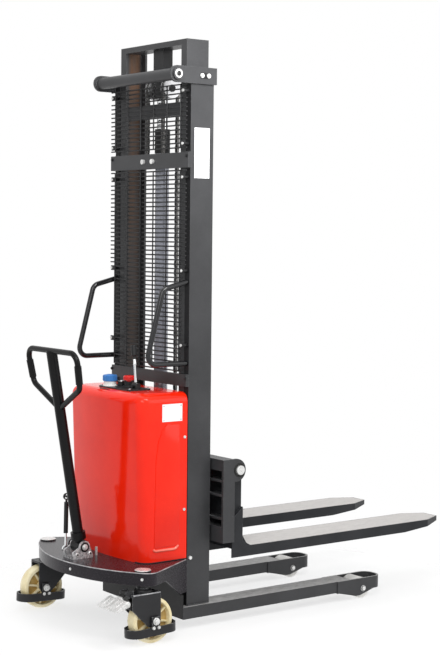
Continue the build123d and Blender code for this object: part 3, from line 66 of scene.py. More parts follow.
# Width of the edge mask for worn edges, which on some finishes also paints an edge highlight.
EDGE_MASK_RADIUS = 0.0016
GRAIN_DEPTH = 0.0006
SOFT_EDGE = 0.012
# Colour of the painted shade on backward-looking faces.
REAR_SHADE = (0.006, 0.006, 0.007)
GREASE_BROWN = (0.098, 0.045, 0.019)
# Near-black laid over the brake pedal past an x value.
NEAR_BLACK = (0.012, 0.012, 0.012)


def link(tree, a, b):
    """Joins an output socket to an input socket."""
    tree.links.new(a, b)


def add(tree, kind, **values):
    """A node with some of its properties or input values set."""
    node = tree.nodes.new(kind)
    for name, value in values.items():
        if name in node.inputs:
            node.inputs[name].default_value = value
        else:
            setattr(node, name, value)
    return node


def noise(tree, place, scale, detail=4.0, rough=0.55, stretch=None):
    """A noise value over the piece's own coordinates, stretched along an axis if asked."""
    source = place
    if stretch:
        mapping = add(tree, "ShaderNodeMapping")
        mapping.inputs["Scale"].default_value = stretch
        link(tree, place, mapping.inputs["Vector"])
        source = mapping.outputs["Vector"]
    node = add(tree, "ShaderNodeTexNoise", Scale=scale, Detail=detail, Roughness=rough)
    link(tree, source, node.inputs["Vector"])
    return node.outputs["Fac"]


def spread(tree, value, low, high, start=0.3, end=0.7):
    """A value mapped to a range."""
    node = add(tree, "ShaderNodeMapRange")
    node.inputs["From Min"].default_value = start
    node.inputs["From Max"].default_value = end
    node.inputs["To Min"].default_value = low
    node.inputs["To Max"].default_value = high
    link(tree, value, node.inputs["Value"])
    return node.outputs["Result"]


def times(tree, a, b):
    """The product of two values."""
    node = add(tree, "ShaderNodeMath", operation="MULTIPLY")
    link(tree, a, node.inputs[0])
    link(tree, b, node.inputs[1])
    return node.outputs[0]


def ramp(tree, value, *stops):
    """Colours along a value."""
    node = add(tree, "ShaderNodeValToRGB")
    steps = node.color_ramp.elements
    while len(steps) < len(stops):
        steps.new(0.5)
    for step, (at, colour) in zip(steps, stops):
        step.position = at
        step.color = (*colour, 1)
    link(tree, value, node.inputs["Fac"])
    return node.outputs["Color"]


def mix(tree, amount, a, b):
    """One colour over another by an amount; b may be a plain colour."""
    node = add(tree, "ShaderNodeMix", data_type="RGBA")
    link(tree, amount, node.inputs[0])
    link(tree, a, node.inputs[6])
    if isinstance(b, tuple):
        node.inputs[7].default_value = (*b, 1)
    else:
        link(tree, b, node.inputs[7])
    return node.outputs[2]


def edges(tree, radius):
    """About 1 on sharp edges and 0 on flats."""
    bevel = add(tree, "ShaderNodeBevel", Radius=radius)
    bevel.samples = 4
    here = add(tree, "ShaderNodeNewGeometry")
    dot = add(tree, "ShaderNodeVectorMath", operation="DOT_PRODUCT")
    link(tree, bevel.outputs["Normal"], dot.inputs[0])
    link(tree, here.outputs["Normal"], dot.inputs[1])
    return spread(tree, dot.outputs["Value"], 1.0, 0.0, 0.86, 0.985)


def surface(name, dark, light, rough, metallic=0.0, grain=220.0, bump=0.05, edge_wear_and_highlight=None, edge_wear_and_highlight_amount=0.6,
            blotch=5.0, stretch=None, dirt=None, gloss=0.5):
    """A painted, plated or moulded surface: blotchy colour, fine grain, pale edges for wear that on some
    finishes also paint an edge highlight, uneven gloss and bump.
    """
    material = bpy.data.materials.new(name)
    material.use_nodes = True
    tree = material.node_tree
    shader = tree.nodes["Principled BSDF"]
    place = add(tree, "ShaderNodeTexCoord").outputs["Object"]
    broad = noise(tree, place, blotch, 5.0, 0.6)
    fine = noise(tree, place, grain, 3.0, 0.5, stretch)
    colour = ramp(tree, broad, (0.32, dark), (0.68, light))
    speck = spread(tree, fine, 0.0, 0.35, 0.52, 0.8)
    colour = mix(tree, speck, colour, tuple(min(1.0, c * 1.35 + 0.004) for c in light))
    if dirt:
        low = noise(tree, place, 14.0, 8.0, 0.7)
        colour = mix(tree, spread(tree, low, 0.0, 0.55, 0.55, 0.8), colour, dirt)
    shine = spread(tree, fine, rough[0], rough[1])
    # Pale edges: wear on most finishes; on the caster forks, the cover's side beads and the pale edge tubes
    # they also paint a highlight.
    if edge_wear_and_highlight:
        edge_breakup = spread(tree, noise(tree, place, 60.0, 6.0, 0.7), 0.0, edge_wear_and_highlight_amount, 0.4, 0.62)
        worn_and_lit_edges = times(tree, edges(tree, EDGE_MASK_RADIUS), edge_breakup)
        colour = mix(tree, worn_and_lit_edges, colour, edge_wear_and_highlight)
    link(tree, colour, shader.inputs["Base Color"])
    link(tree, shine, shader.inputs["Roughness"])
    shader.inputs["Metallic"].default_value = metallic
    shader.inputs["Specular IOR Level"].default_value = gloss
    relief = add(tree, "ShaderNodeBump", Strength=bump, Distance=GRAIN_DEPTH)
    link(tree, fine, relief.inputs["Height"])
    link(tree, relief.outputs["Normal"], shader.inputs["Normal"])
    return material


def over(material, amount, colour, rough):
    """Lays a colour and a roughness over a finished surface by an amount."""
    tree = material.node_tree
    shader = tree.nodes["Principled BSDF"]
    old = shader.inputs["Base Color"].links[0].from_socket
    link(tree, mix(tree, amount, old, colour), shader.inputs["Base Color"])
    shine = shader.inputs["Roughness"].links[0].from_socket
    blend = add(tree, "ShaderNodeMix", data_type="FLOAT")
    link(tree, amount, blend.inputs[0])
    link(tree, shine, blend.inputs[2])
    blend.inputs[3].default_value = rough
    link(tree, blend.outputs[0], shader.inputs["Roughness"])


def facing(tree, axis, way):
    """About 1 on faces that look along an axis of the frame, 0 elsewhere."""
    parts = add(tree, "ShaderNodeSeparateXYZ")
    link(tree, add(tree, "ShaderNodeNewGeometry").outputs["True Normal"], parts.inputs["Vector"])
    return spread(tree, parts.outputs[axis], 0.0, 1.0, way * 0.9, way * 0.98)


def greased(material, near, far):
    """Brown grease in vertical streaks on a left beam's web, between two x values and more of it above."""
    tree = material.node_tree
    place = add(tree, "ShaderNodeTexCoord").outputs["Object"]
    parts = add(tree, "ShaderNodeSeparateXYZ")
    link(tree, place, parts.inputs["Vector"])
    inside = times(tree, spread(tree, parts.outputs["X"], 0.0, 1.0, near, near + SOFT_EDGE),
                   spread(tree, parts.outputs["X"], 1.0, 0.0, far - SOFT_EDGE, far))
    streak = spread(tree, noise(tree, place, 9.0, 6.0, 0.65, (6.0, 6.0, 0.35)), 0.3, 1.0, 0.3, 0.62)
    higher = spread(tree, parts.outputs["Z"], 0.4, 1.0, 1.25, 1.75)
    amount = times(tree, times(tree, facing(tree, "Y", -1), inside), times(tree, streak, higher))
    over(material, amount, GREASE_BROWN, 0.5)
    return material


def painted_rear_shade(material):
    """Paint darkened and dulled on the faces that look backwards: painted shade."""
    tree = material.node_tree
    over(material, facing(tree, "X", -1), REAR_SHADE, 0.7)
    return material


def rubbed_and_sheen_top(material, colour, least, border, rough):
    """A load face rubbed bright along its length, the pale streaks also standing for a painted reflection of
    the bright surroundings, with its dark rim kept.
    """
    tree = material.node_tree
    place = add(tree, "ShaderNodeTexCoord").outputs["Object"]
    streak = spread(tree, noise(tree, place, 70.0, 8.0, 0.75, (0.4, 1.6, 1.6)), least, 1.0, 0.3, 0.55)
    rim = spread(tree, edges(tree, border), 1.0, 0.0, 0.0, 0.5)
    over(material, times(tree, times(tree, facing(tree, "Z", 1), streak), rim), colour, rough)
    return material


def dark_beyond(material, edge):
    """The same metal drawn near-black past an x value of the frame."""
    tree = material.node_tree
    parts = add(tree, "ShaderNodeSeparateXYZ")
    link(tree, add(tree, "ShaderNodeTexCoord").outputs["Object"], parts.inputs["Vector"])
    over(material, spread(tree, parts.outputs["X"], 0.0, 1.0, edge, edge + 0.004), NEAR_BLACK, 0.5)
    return material


# Materials, by the record's slots and by finishes of their own

STEEL_CHIP = (0.34, 0.34, 0.35)
BEAM = min(v.co.x for v in frame["nodes"]["left_inner_beam"].data.vertices)
PEDAL = min(v.co.x for v in frame["nodes"]["brake_pedal"].data.vertices)
ZINC = dict(dark=(0.56, 0.56, 0.55), light=(0.80, 0.80, 0.79), rough=(0.2, 0.4), metallic=0.5, grain=320.0,
            blotch=40.0, bump=0.06, edge_wear_and_highlight=(0.85, 0.85, 0.84), dirt=(0.16, 0.155, 0.14))
CHARCOAL = dict(dark=(0.027, 0.0275, 0.029), light=(0.042, 0.0425, 0.045), rough=(0.34, 0.5), gloss=0.3,
                edge_wear_and_highlight=STEEL_CHIP, edge_wear_and_highlight_amount=0.3)
FORK_BLACK = dict(dark=(0.016, 0.017, 0.019), light=(0.028, 0.029, 0.032), rough=(0.34, 0.5), gloss=0.16,
                  edge_wear_and_highlight=STEEL_CHIP, edge_wear_and_highlight_amount=0.5)
MATERIALS = {
    "mast_paint": surface("charcoal_paint", **CHARCOAL),
    "black_parts": surface("black_powder_coat", (0.0065, 0.0065, 0.007), (0.012, 0.012, 0.013), (0.36, 0.54),
                           grain=420.0, bump=0.12, edge_wear_and_highlight=(0.12, 0.12, 0.125), edge_wear_and_highlight_amount=0.25, gloss=0.3),
    # Caster forks: the pale, full-strength edges paint the highlights on their top edges along with wear.
    "caster_black": surface("caster_black_enamel", (0.012, 0.012, 0.0135), (0.021, 0.0215, 0.024),
                            (0.3, 0.46), grain=420.0, bump=0.08, edge_wear_and_highlight=(0.55, 0.55, 0.56), edge_wear_and_highlight_amount=1.0,
                            gloss=0.3),
    "red_cover": surface("red_moulded_cover", (0.76, 0.013, 0.002), (0.86, 0.021, 0.004), (0.08, 0.14),
                         grain=520.0, bump=0.015, edge_wear_and_highlight=(0.95, 0.12, 0.06), edge_wear_and_highlight_amount=0.2, gloss=0.26),
    # Paler red for the side beads: a painted highlight where the raised lip catches light.
    "red_highlight_paint": surface("red_painted_highlight", (0.86, 0.10, 0.06), (0.92, 0.26, 0.20), (0.1, 0.2), grain=520.0,
                        bump=0.015, edge_wear_and_highlight=(0.95, 0.5, 0.42), edge_wear_and_highlight_amount=0.5, gloss=0.5),
    "bright_steel": surface("bright_steel", (0.42, 0.42, 0.43), (0.60, 0.60, 0.61), (0.22, 0.42),
                            metallic=1.0, grain=160.0, stretch=(1.0, 8.0, 8.0), bump=0.05,
                            edge_wear_and_highlight=(0.8, 0.8, 0.8)),
    "zinc_plate": surface("zinc_plate", **ZINC),
    "pedal_zinc": dark_beyond(surface("pedal_zinc", **ZINC), PEDAL + 0.05),
    "chrome_rod": surface("chrome_rod", (0.72, 0.73, 0.74), (0.85, 0.86, 0.87), (0.04, 0.12), metallic=1.0,
                          grain=260.0, stretch=(6.0, 6.0, 0.6), bump=0.02, edge_wear_and_highlight=(0.9, 0.9, 0.9)),
    "cream_wheel": surface("cream_nylon", (0.70, 0.58, 0.31), (0.88, 0.80, 0.56), (0.3, 0.48), grain=300.0,
                           blotch=22.0, bump=0.06, edge_wear_and_highlight=(0.92, 0.88, 0.72), edge_wear_and_highlight_amount=0.5,
                           dirt=(0.50, 0.38, 0.18), gloss=0.4),
    # Wheel web: darker gold as painted shade in the recess between rim and hub.
    "wheel_web": surface("golden_web_painted_shade", (0.40, 0.25, 0.07), (0.58, 0.40, 0.15), (0.4, 0.56), grain=300.0,
                         blotch=30.0, bump=0.08, edge_wear_and_highlight=(0.7, 0.55, 0.28), edge_wear_and_highlight_amount=0.3,
                         dirt=(0.22, 0.12, 0.04), gloss=0.3),
    "pale_roller": surface("pale_nylon", (0.70, 0.69, 0.66), (0.84, 0.83, 0.80), (0.34, 0.52), grain=300.0,
                           blotch=26.0, bump=0.06, edge_wear_and_highlight=(0.9, 0.89, 0.86), dirt=(0.46, 0.44, 0.40)),
    "black_plastic": surface("black_plastic", (0.008, 0.008, 0.009), (0.015, 0.015, 0.017), (0.3, 0.46),
                             grain=600.0, bump=0.1, edge_wear_and_highlight=(0.07, 0.07, 0.075), edge_wear_and_highlight_amount=0.35, gloss=0.35),
    "black_rubber": surface("black_rubber", (0.008, 0.008, 0.008), (0.016, 0.016, 0.015), (0.6, 0.8),
                            grain=700.0, bump=0.2, edge_wear_and_highlight=(0.05, 0.05, 0.05), edge_wear_and_highlight_amount=0.5, gloss=0.3),
    "plate_white": surface("white_plate", (0.74, 0.74, 0.75), (0.84, 0.84, 0.85), (0.3, 0.46), grain=500.0,
                           blotch=30.0, bump=0.03, edge_wear_and_highlight=(0.5, 0.5, 0.52), dirt=(0.62, 0.61, 0.59)),
    "grey_aluminium": surface("cast_aluminium", (0.14, 0.14, 0.145), (0.80, 0.80, 0.81), (0.2, 0.4),
                              metallic=0.6, grain=360.0, blotch=95.0, bump=0.2, edge_wear_and_highlight=(0.9, 0.9, 0.9),
                              dirt=(0.05, 0.05, 0.05)),
    "red_button": surface("red_button", (0.60, 0.010, 0.008), (0.74, 0.018, 0.013), (0.24, 0.38), grain=500.0,
                          bump=0.05, edge_wear_and_highlight=(0.9, 0.16, 0.12), edge_wear_and_highlight_amount=0.3, gloss=0.4),
    "blue_cap": surface("blue_cap", (0.020, 0.13, 0.40), (0.045, 0.22, 0.56), (0.26, 0.42), grain=420.0,
                        bump=0.07, edge_wear_and_highlight=(0.2, 0.34, 0.7), edge_wear_and_highlight_amount=0.35, gloss=0.4),
    "tray_paint": surface("tray_gloss_paint", (0.014, 0.012, 0.015), (0.024, 0.021, 0.026), (0.18, 0.32),
                          bump=0.02, edge_wear_and_highlight=STEEL_CHIP, edge_wear_and_highlight_amount=0.5, gloss=0.18,
                          dirt=(0.036, 0.032, 0.038)),
    "tube_black": surface("tube_black_gloss", (0.0030, 0.0030, 0.0032), (0.0055, 0.0055, 0.006), (0.22, 0.36),
                          grain=420.0, bump=0.05, edge_wear_and_highlight=(0.09, 0.09, 0.095), edge_wear_and_highlight_amount=0.2, gloss=0.16),
    "handle_black": surface("handle_black_gloss", (0.006, 0.006, 0.007), (0.012, 0.012, 0.013), (0.1, 0.2),
                            grain=420.0, bump=0.03, edge_wear_and_highlight=(0.12, 0.12, 0.125), edge_wear_and_highlight_amount=0.3, gloss=0.4),
    "barrel_grey": surface("barrel_grey_enamel", (0.26, 0.27, 0.31), (0.38, 0.39, 0.44), (0.12, 0.26),
                           metallic=0.3, bump=0.02, edge_wear_and_highlight=(0.6, 0.6, 0.62), edge_wear_and_highlight_amount=0.3, gloss=0.6),
    # Pale grey for the rounded edge tubes on the caster crowns and the tray rim: a painted highlight along
    # the edges.
    "edge_highlight_grey": surface("painted_edge_highlight_enamel", (0.16, 0.16, 0.17), (0.46, 0.46, 0.47), (0.25, 0.42),
                            metallic=0.4, blotch=30.0, bump=0.05, edge_wear_and_highlight=(0.7, 0.7, 0.7), edge_wear_and_highlight_amount=0.5),
    "chain_steel": surface("oiled_chain_steel", (0.040, 0.039, 0.037), (0.13, 0.125, 0.12), (0.25, 0.45),
                           metallic=0.8, blotch=60.0, bump=0.05, edge_wear_and_highlight=(0.5, 0.5, 0.5), edge_wear_and_highlight_amount=0.8),
    # Fork and leg tops: rubbed wear together with a painted reflection on the upward faces.
    "fork_paint": rubbed_and_sheen_top(surface("fork_paint", **FORK_BLACK), (0.47, 0.45, 0.435), 0.76, 0.009, 0.35),
    # Mast channels: their backward faces are darkened as painted shade.
    "channel_paint": painted_rear_shade(surface("channel_paint", **CHARCOAL)),
    "leg_paint": rubbed_and_sheen_top(surface("leg_paint", **CHARCOAL), (0.36, 0.355, 0.35), 0.2, 0.005, 0.4),
    "beam_paint": greased(surface("beam_paint", **CHARCOAL), BEAM + 0.026, BEAM + 0.084),
    "neck_white": surface("white_filler_neck", (0.70, 0.70, 0.68), (0.82, 0.82, 0.80), (0.3, 0.5),
                          grain=420.0, blotch=60.0, bump=0.05, edge_wear_and_highlight=(0.9, 0.9, 0.89), dirt=(0.5, 0.48, 0.44)),
}
# The rear beam takes the black powder coat as painted shade, for the deep shade it stands in.
REPAINTED = {
    "base_tray": "tray_paint", "cylinder_head": "black_parts", "caster_mounts": "black_parts",
    "left_fork": "fork_paint", "right_fork": "fork_paint", "left_leg": "leg_paint", "right_leg": "leg_paint",
    "left_mast_channel": "channel_paint", "right_mast_channel": "channel_paint",
    "left_inner_beam": "beam_paint", "tiller_bracket": "grey_aluminium",
    "tiller": "tube_black", "left_grab_handle": "handle_black", "right_grab_handle": "handle_black",
    "tiller_grips": "tube_black", "brake_pedal": "pedal_zinc", "rear_beam": "black_parts",
    "cylinder_barrel": "barrel_grey", "left_caster_fork": "caster_black", "right_caster_fork": "caster_black",
}
for piece in frame["record"]["subparts"]:
    mesh = frame["nodes"][piece["node"]].data
    mesh.materials.clear()
    mesh.materials.append(MATERIALS[REPAINTED.get(piece["node"], piece["material_slot"])])


# Geometry helpers

WASHER = 1.9
WASHER_RIM = 0.3
HEAD_CHAMFER = 0.12
HEAD_TOP = 0.86


class Shape:
    """A mesh gathered from simple solids, in millimetres."""

    def __init__(self):
        self.mesh = bmesh.new()

    def join(self, verts, faces):
        """Adds points and the faces between them."""
        made = [self.mesh.verts.new(P(*v)) for v in verts]
        for face in faces:
            self.mesh.faces.new([made[i] for i in face])

    def box(self, x, y, z, bevel=0.0):
        """A box between limits, with bevelled edges if asked."""
        part = bmesh.new()
        bmesh.ops.create_cube(part, size=1.0)
        for v in part.verts:
            v.co = Vector((x[v.co.x > 0], y[v.co.y > 0], z[v.co.z > 0]))
        if bevel:
            bmesh.ops.bevel(part, geom=part.edges[:], offset=bevel, segments=2, affect="EDGES", profile=0.5)
        self.take(part)

    def take(self, part, turn=None):
        """Adds another mesh, turned by a matrix if given, and frees it."""
        if turn is not None:
            bmesh.ops.transform(part, matrix=turn, verts=part.verts[:])
        part.verts.index_update()
        self.join([v.co for v in part.verts], [[v.index for v in f.verts] for f in part.faces])
        part.free()

    def tube(self, points, radius, sides=10):
        """A round tube along points, with flat ends."""
        points = [Vector(p) for p in points]
        count = len(points)
        verts = []
        side = None
        for i, point in enumerate(points):
            along = (points[min(i + 1, count - 1)] - points[max(i - 1, 0)]).normalized()
            if side is None:
                side = along.orthogonal().normalized()
            side = (side - along * side.dot(along)).normalized()
            other = along.cross(side)
            for k in range(sides):
                turn = 2 * pi * k / sides
                verts.append(point + radius * (side * cos(turn) + other * sin(turn)))
        self.join(verts, self.bands(count, sides) + self.ends(count, sides))

    @staticmethod
    def bands(count, sides, closed=False):
        """The side faces between rings of points, and from the last ring to the first if closed."""
        faces = []
        for i in range(count if closed else count - 1):
            a = i * sides
            b = (i + 1) % count * sides
            for k in range(sides):
                n = (k + 1) % sides
                faces.append((a + k, a + n, b + n, b + k))
        return faces

    @staticmethod
    def ends(count, sides):
        """The faces on the first and the last ring of points."""
        return [tuple(reversed(range(sides))), tuple((count - 1) * sides + k for k in range(sides))]

    @staticmethod
    def turned(centre, axis, profile, sides):
        """The rings of points of (radius, distance along the axis) pairs turned about an axis."""
        axis = Vector(axis).normalized()
        side = axis.orthogonal().normalized()
        other = axis.cross(side)
        verts = []
        for radius, along in profile:
            for k in range(sides):
                turn = 2 * pi * k / sides
                verts.append(Vector(centre) + axis * along + radius * (side * cos(turn) + other * sin(turn)))
        return verts

    def lathe(self, centre, axis, profile, sides=32):
        """A profile turned about an axis and closed by a flat face at both ends."""
        count = len(profile)
        faces = self.bands(count, sides) + self.ends(count, sides)
        self.join(self.turned(centre, axis, profile, sides), faces)

    def ring(self, centre, axis, profile, sides=48):
        """A closed profile turned about an axis."""
        self.join(self.turned(centre, axis, profile, sides), self.bands(len(profile), sides, True))

    def slab(self, outline, depth, bevel=0.0):
        """An outline of 3-D points given thickness along a vector, with its front rim bevelled if asked."""
        depth = Vector(depth)
        points = [Vector(p) for p in outline]
        part = bmesh.new()
        back = [part.verts.new(p) for p in points]
        front = [part.verts.new(p + depth) for p in points]
        count = len(points)
        part.faces.new(list(reversed(back)))
        face = part.faces.new(front)
        for i in range(count):
            part.faces.new((back[i], back[(i + 1) % count], front[(i + 1) % count], front[i]))
        bmesh.ops.recalc_face_normals(part, faces=part.faces[:])
        if bevel:
            bmesh.ops.bevel(part, geom=face.edges[:], offset=bevel, segments=2, affect="EDGES", profile=0.5)
        self.take(part)

    def hexagon(self, centre, axis, radius, height, washer=0.0):
        """A hexagon head or nut with a chamfered top, on a washer if asked."""
        axis = Vector(axis).normalized()
        centre = Vector(centre)
        if washer:
            disc = [(washer - WASHER_RIM, 0), (washer, WASHER_RIM), (washer, WASHER - WASHER_RIM),
                    (washer - WASHER_RIM, WASHER)]
            self.lathe(centre, axis, disc, 28)
            centre = centre + axis * WASHER
        head = [(radius, 0), (radius, height * (1 - HEAD_CHAMFER)), (radius * HEAD_TOP, height)]
        self.lathe(centre, axis, head, 6)

    def make(self, name, material, body, slot=None, smooth=35.0, replaces=()):
        """The finished object, riding on a body."""
        bmesh.ops.recalc_face_normals(self.mesh, faces=self.mesh.faces[:])
        data = bpy.data.meshes.new(name)
        self.mesh.to_mesh(data)
        self.mesh.free()
        data.polygons.foreach_set("use_smooth", [True] * len(data.polygons))
        data.set_sharp_from_angle(angle=radians(smooth))
        thing = bpy.data.objects.new(name, data)
        bpy.context.scene.collection.objects.link(thing)
        data.materials.append(MATERIALS[material])
        if body:
            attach(thing, body)
        if replaces:
            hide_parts(*replaces)
        return thing


# Wire guards and chains

WIRE_R = 2.6
WIRE_PITCH = 15.7
ROW_X = -17.9
UPRIGHT_X = -21.9
UPRIGHTS = 6
UPRIGHT_PITCH = 84.0
ROW_REACH = 243.0
SHORT_REACH = 215.0
HANDLE_Z = (900, 1260)
TAB_Y = (208.0, 234.5)
TAB_BOSS_Y = 227.75
TAB_BOSS = [(6.8, 0), (7, 0.6), (7, 19), (6.6, 19.9)]


def wire_guard(name, node, foot, top, tabs):
    """Round wires: close rows in front, uprights welded behind them, and the bolted tabs."""
    shape = Shape()
    rows = int((top - foot) / WIRE_PITCH) + 1
    height = foot + (rows - 1) * WIRE_PITCH
    for number in range(UPRIGHTS):
        y = (number - (UPRIGHTS - 1) / 2) * UPRIGHT_PITCH
        shape.tube([(UPRIGHT_X, y, foot - 2), (UPRIGHT_X, y, height + 2)], WIRE_R, 8)
    for row in range(rows):
        z = foot + row * WIRE_PITCH
        beside_handle = HANDLE_Z[0] < z < HANDLE_Z[1]
        beside_tab = any(abs(z - tab) < 12 for tab in tabs)
        reach = SHORT_REACH if beside_handle or beside_tab else ROW_REACH
        shape.tube([(ROW_X, -reach, z), (ROW_X, reach, z)], WIRE_R, 8)
    for z in tabs:
        for side in (1, -1):
            shape.box((-24, -20), sorted(side * y for y in TAB_Y), (z - 9, z + 9), 1.2)
            shape.lathe((-20, side * TAB_BOSS_Y, z), (1, 0, 0), TAB_BOSS, 20)
    shape.make(name, "black_parts", "chassis", replaces=(node,))


wire_guard("upper_guard_wires", "upper_guard", 1704.0, 1927.0, (1718.0, 1902.0))
wire_guard("lower_guard_wires", "lower_guard", 918.0, 1634.0, (1010.0, 1273.0, 1601.0))


CHAIN_Y = 49.0
CHAIN_PITCH = 15.875
PLATE_R = 4.6
PLATE_THICK = 2.0
PLATE_ROWS = ((-5.3, -1.0, 3.3), (-7.4, -3.2, 1.2, 5.4))
CHAIN_PIN = [(2.2, 0), (2.5, 0.3), (2.5, 15.7), (2.2, 16.0)]
CHAIN_PIN_HALF = 8.0
SHEAVE_X = 46.0
SHEAVE_Z = 1925.0
TURN_R = 31.0
TURN_LINKS = 6


def link_plate(shape, x, y, z, along, half):
    """One chain plate in the XZ plane: a straight waist between two round ends."""
    arc = [(PLATE_R * cos(pi * k / 8), half + PLATE_R * sin(pi * k / 8)) for k in range(9)]
    outline = arc + [(-a, -b) for a, b in arc]
    across = Vector((along[1], 0, -along[0]))
    line = Vector((along[0], 0, along[1]))
    points = [Vector((x, y, z)) + across * a + line * b for a, b in outline]
    shape.slab(points, (0, PLATE_THICK, 0))


def chain_run(name, x, foot, top, node):
    """Two straight runs of leaf chain, in alternate plates on pins."""
    shape = Shape()
    count = int((top - foot) / CHAIN_PITCH)
    step = (top - foot) / count
    for side in (1, -1):
        for i in range(count):
            z = foot + (i + 0.5) * step
            for offset in PLATE_ROWS[i % 2]:
                link_plate(shape, x, side * CHAIN_Y + offset, z, (0, 1), step / 2)
        for i in range(count + 1):
            pin = (x, side * CHAIN_Y - CHAIN_PIN_HALF, foot + i * step)
            shape.lathe(pin, (0, 1, 0), CHAIN_PIN, 8)
    return shape.make(name, "chain_steel", None, slot="bright_steel", replaces=(node,))


def chain_turn(name, node):
    """The half turns of both chains over their sheaves."""
    shape = Shape()
    half = TURN_R * sin(pi / TURN_LINKS / 2)
    for side in (1, -1):
        for i in range(TURN_LINKS):
            turn = pi * (i + 0.5) / TURN_LINKS
            x, z = SHEAVE_X + TURN_R * cos(turn), SHEAVE_Z + TURN_R * sin(turn)
            for offset in PLATE_ROWS[i % 2]:
                link_plate(shape, x, side * CHAIN_Y + offset, z, (-sin(turn), cos(turn)), half)
        for i in range(TURN_LINKS + 1):
            turn = pi * i / TURN_LINKS
            x, z = SHEAVE_X + TURN_R * cos(turn), SHEAVE_Z + TURN_R * sin(turn)
            shape.lathe((x, side * CHAIN_Y - CHAIN_PIN_HALF, z), (0, 1, 0), CHAIN_PIN, 8)
    shape.make(name, "chain_steel", "inner_mast", slot="bright_steel", replaces=(node,))


front_run = chain_run("front_chain_links", 77.0, 500.0, 1925.0, "front_chains")
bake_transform(front_run)
rear_run = chain_run("rear_chain_links", 15.0, 1682.0, 1925.0, "rear_chains")
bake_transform(rear_run)
chain_turn("chain_turn_links", "chain_wraps")


# Casters and load rollers

AXLE_Z = 80.0
TREAD = [(66, -21), (67.5, -23), (74, -23), (77.5, -21.5), (79.4, -18), (80, -12), (80, 12), (79.4, 18),
         (77.5, 21.5), (74, 23), (67.5, 23), (66, 21), (65, 7), (65, -7)]
WEB = [(12, -4), (65.5, -4), (65.5, 4), (12, 4)]
HUB = [(8.2, -22.6), (18.5, -22.6), (21, -20.5), (22, -14), (22, 14), (21, 20.5), (18.5, 22.6), (8.2, 22.6)]
RIBS = 8
RIB_MIDDLE = 43.5
RIB_LENGTH = 47.0
RIB_WIDTH = 30.0
RIB_TAPER = 6.0
RIB_THICK = 7.0


def caster_wheel(side, x, y):
    """A moulded wheel: a rounded tread with rims, ribs and a hub, and a web between them in a darker gold
    that paints the shade in the wheel's recess.
    """
    shape = Shape()
    at = (x, y, AXLE_Z)
    shape.ring(at, (0, 1, 0), TREAD, 64)
    web = Shape()
    web.ring(at, (0, 1, 0), WEB, 64)
    web.make(side + "_wheel_web", "wheel_web", "wheel_" + side, slot="cream_wheel")
    shape.ring(at, (0, 1, 0), HUB, 40)
    for number in range(RIBS):
        turn = 2 * pi * number / RIBS + 0.2
        rib = bmesh.new()
        bmesh.ops.create_cube(rib, size=1.0)
        for v in rib.verts:
            width = RIB_WIDTH - RIB_TAPER * v.co.x
            v.co = Vector((RIB_MIDDLE + v.co.x * RIB_LENGTH, v.co.y * width, v.co.z * RIB_THICK))
        bmesh.ops.bevel(rib, geom=rib.edges[:], offset=1.2, segments=2, affect="EDGES", profile=0.5)
        shape.take(rib, Matrix.Translation(at) @ Matrix.Rotation(turn, 4, "Y"))
    shape.make(side + "_wheel_moulding", "cream_wheel", "wheel_" + side, replaces=(side + "_wheel",))


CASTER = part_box("caster_mounts")
LEFT_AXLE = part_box("left_wheel")
RIGHT_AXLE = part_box("right_wheel")


def middle(pair, axis):
    """The middle of a node's box along an axis, in millimetres of the model."""
    value = (pair[0][axis] + pair[1][axis]) / 2
    return (value - REAR) * 1000 if axis == 0 else value * 1000


LX, LY = middle(LEFT_AXLE, 0), middle(LEFT_AXLE, 1)
RX, RY = middle(RIGHT_AXLE, 0), middle(RIGHT_AXLE, 1)
caster_wheel("left", LX, LY)
caster_wheel("right", RX, RY)


CASTER_CHEEK_Y = 40.2
TOE_BOLT_Z = 58.0
CROWN_Z = 178.2
RACE = [(22.3, 0), (29, 0), (30, 1.2), (30, 8), (28, 10.5), (22.3, 11)]
RACE_BOLTS = 4
RACE_BOLT_X = 36.26
RACE_BOLT_Y = 20.0
BEND_Y = 29.2
BEND_Z = 176.7
BEND_R = 2.6


def caster_hardware(name, body, x, y):
    """Axle nuts with washers, and the two small bolts of the toe guard on each side."""
    shape = Shape()
    for side in (1, -1):
        cheek = y + side * CASTER_CHEEK_Y
        shape.hexagon((x, cheek, AXLE_Z), (0, side, 0), 10.5, 8.0, 13.0)
        for shift in (-10.0, 11.0):
            shape.hexagon((x + shift, cheek, TOE_BOLT_Z), (0, side, 0), 4.6, 3.6, 6.0)
    shape.make(name, "zinc_plate", body)


caster_hardware("left_caster_nuts", "caster_left", LX, LY)
caster_hardware("right_caster_nuts", "caster_right", RX, RY)


def swivel_race(name, body, x, y):
    """The ball race ring and its bolts on the crown of a caster fork."""
    shape = Shape()
    shape.ring((x, y, CROWN_Z), (0, 0, 1), RACE, 48)
    for number in range(RACE_BOLTS):
        turn = pi / 4 + 2 * pi * number / RACE_BOLTS
        spot = (x + RACE_BOLT_X * cos(turn), y + RACE_BOLT_Y * sin(turn), CROWN_Z)
        shape.hexagon(spot, (0, 0, 1), 4.2, 4.0, 5.6)
    shape.make(name, "black_parts", body)


SX = middle(CASTER, 0)
swivel_race("left_swivel_race", "caster_left", SX, LY)
swivel_race("right_swivel_race", "caster_right", SX, RY)


def crown_bends(side, way, y):
    """The rounded bends along the top of a caster fork's crown, in a pale grey that paints their highlight.
    """
    shape = Shape()
    for edge in (1, -1):
        path = [(SX + way * x, y + edge * BEND_Y, BEND_Z) for x in (-58.0, -20.0, 20.0, 53.0)]
        shape.tube(path, BEND_R, 12)
    shape.make(side + "_crown_bends", "edge_highlight_grey", "caster_" + side, slot="black_parts")


crown_bends("left", -1, LY)
crown_bends("right", 1, RY)


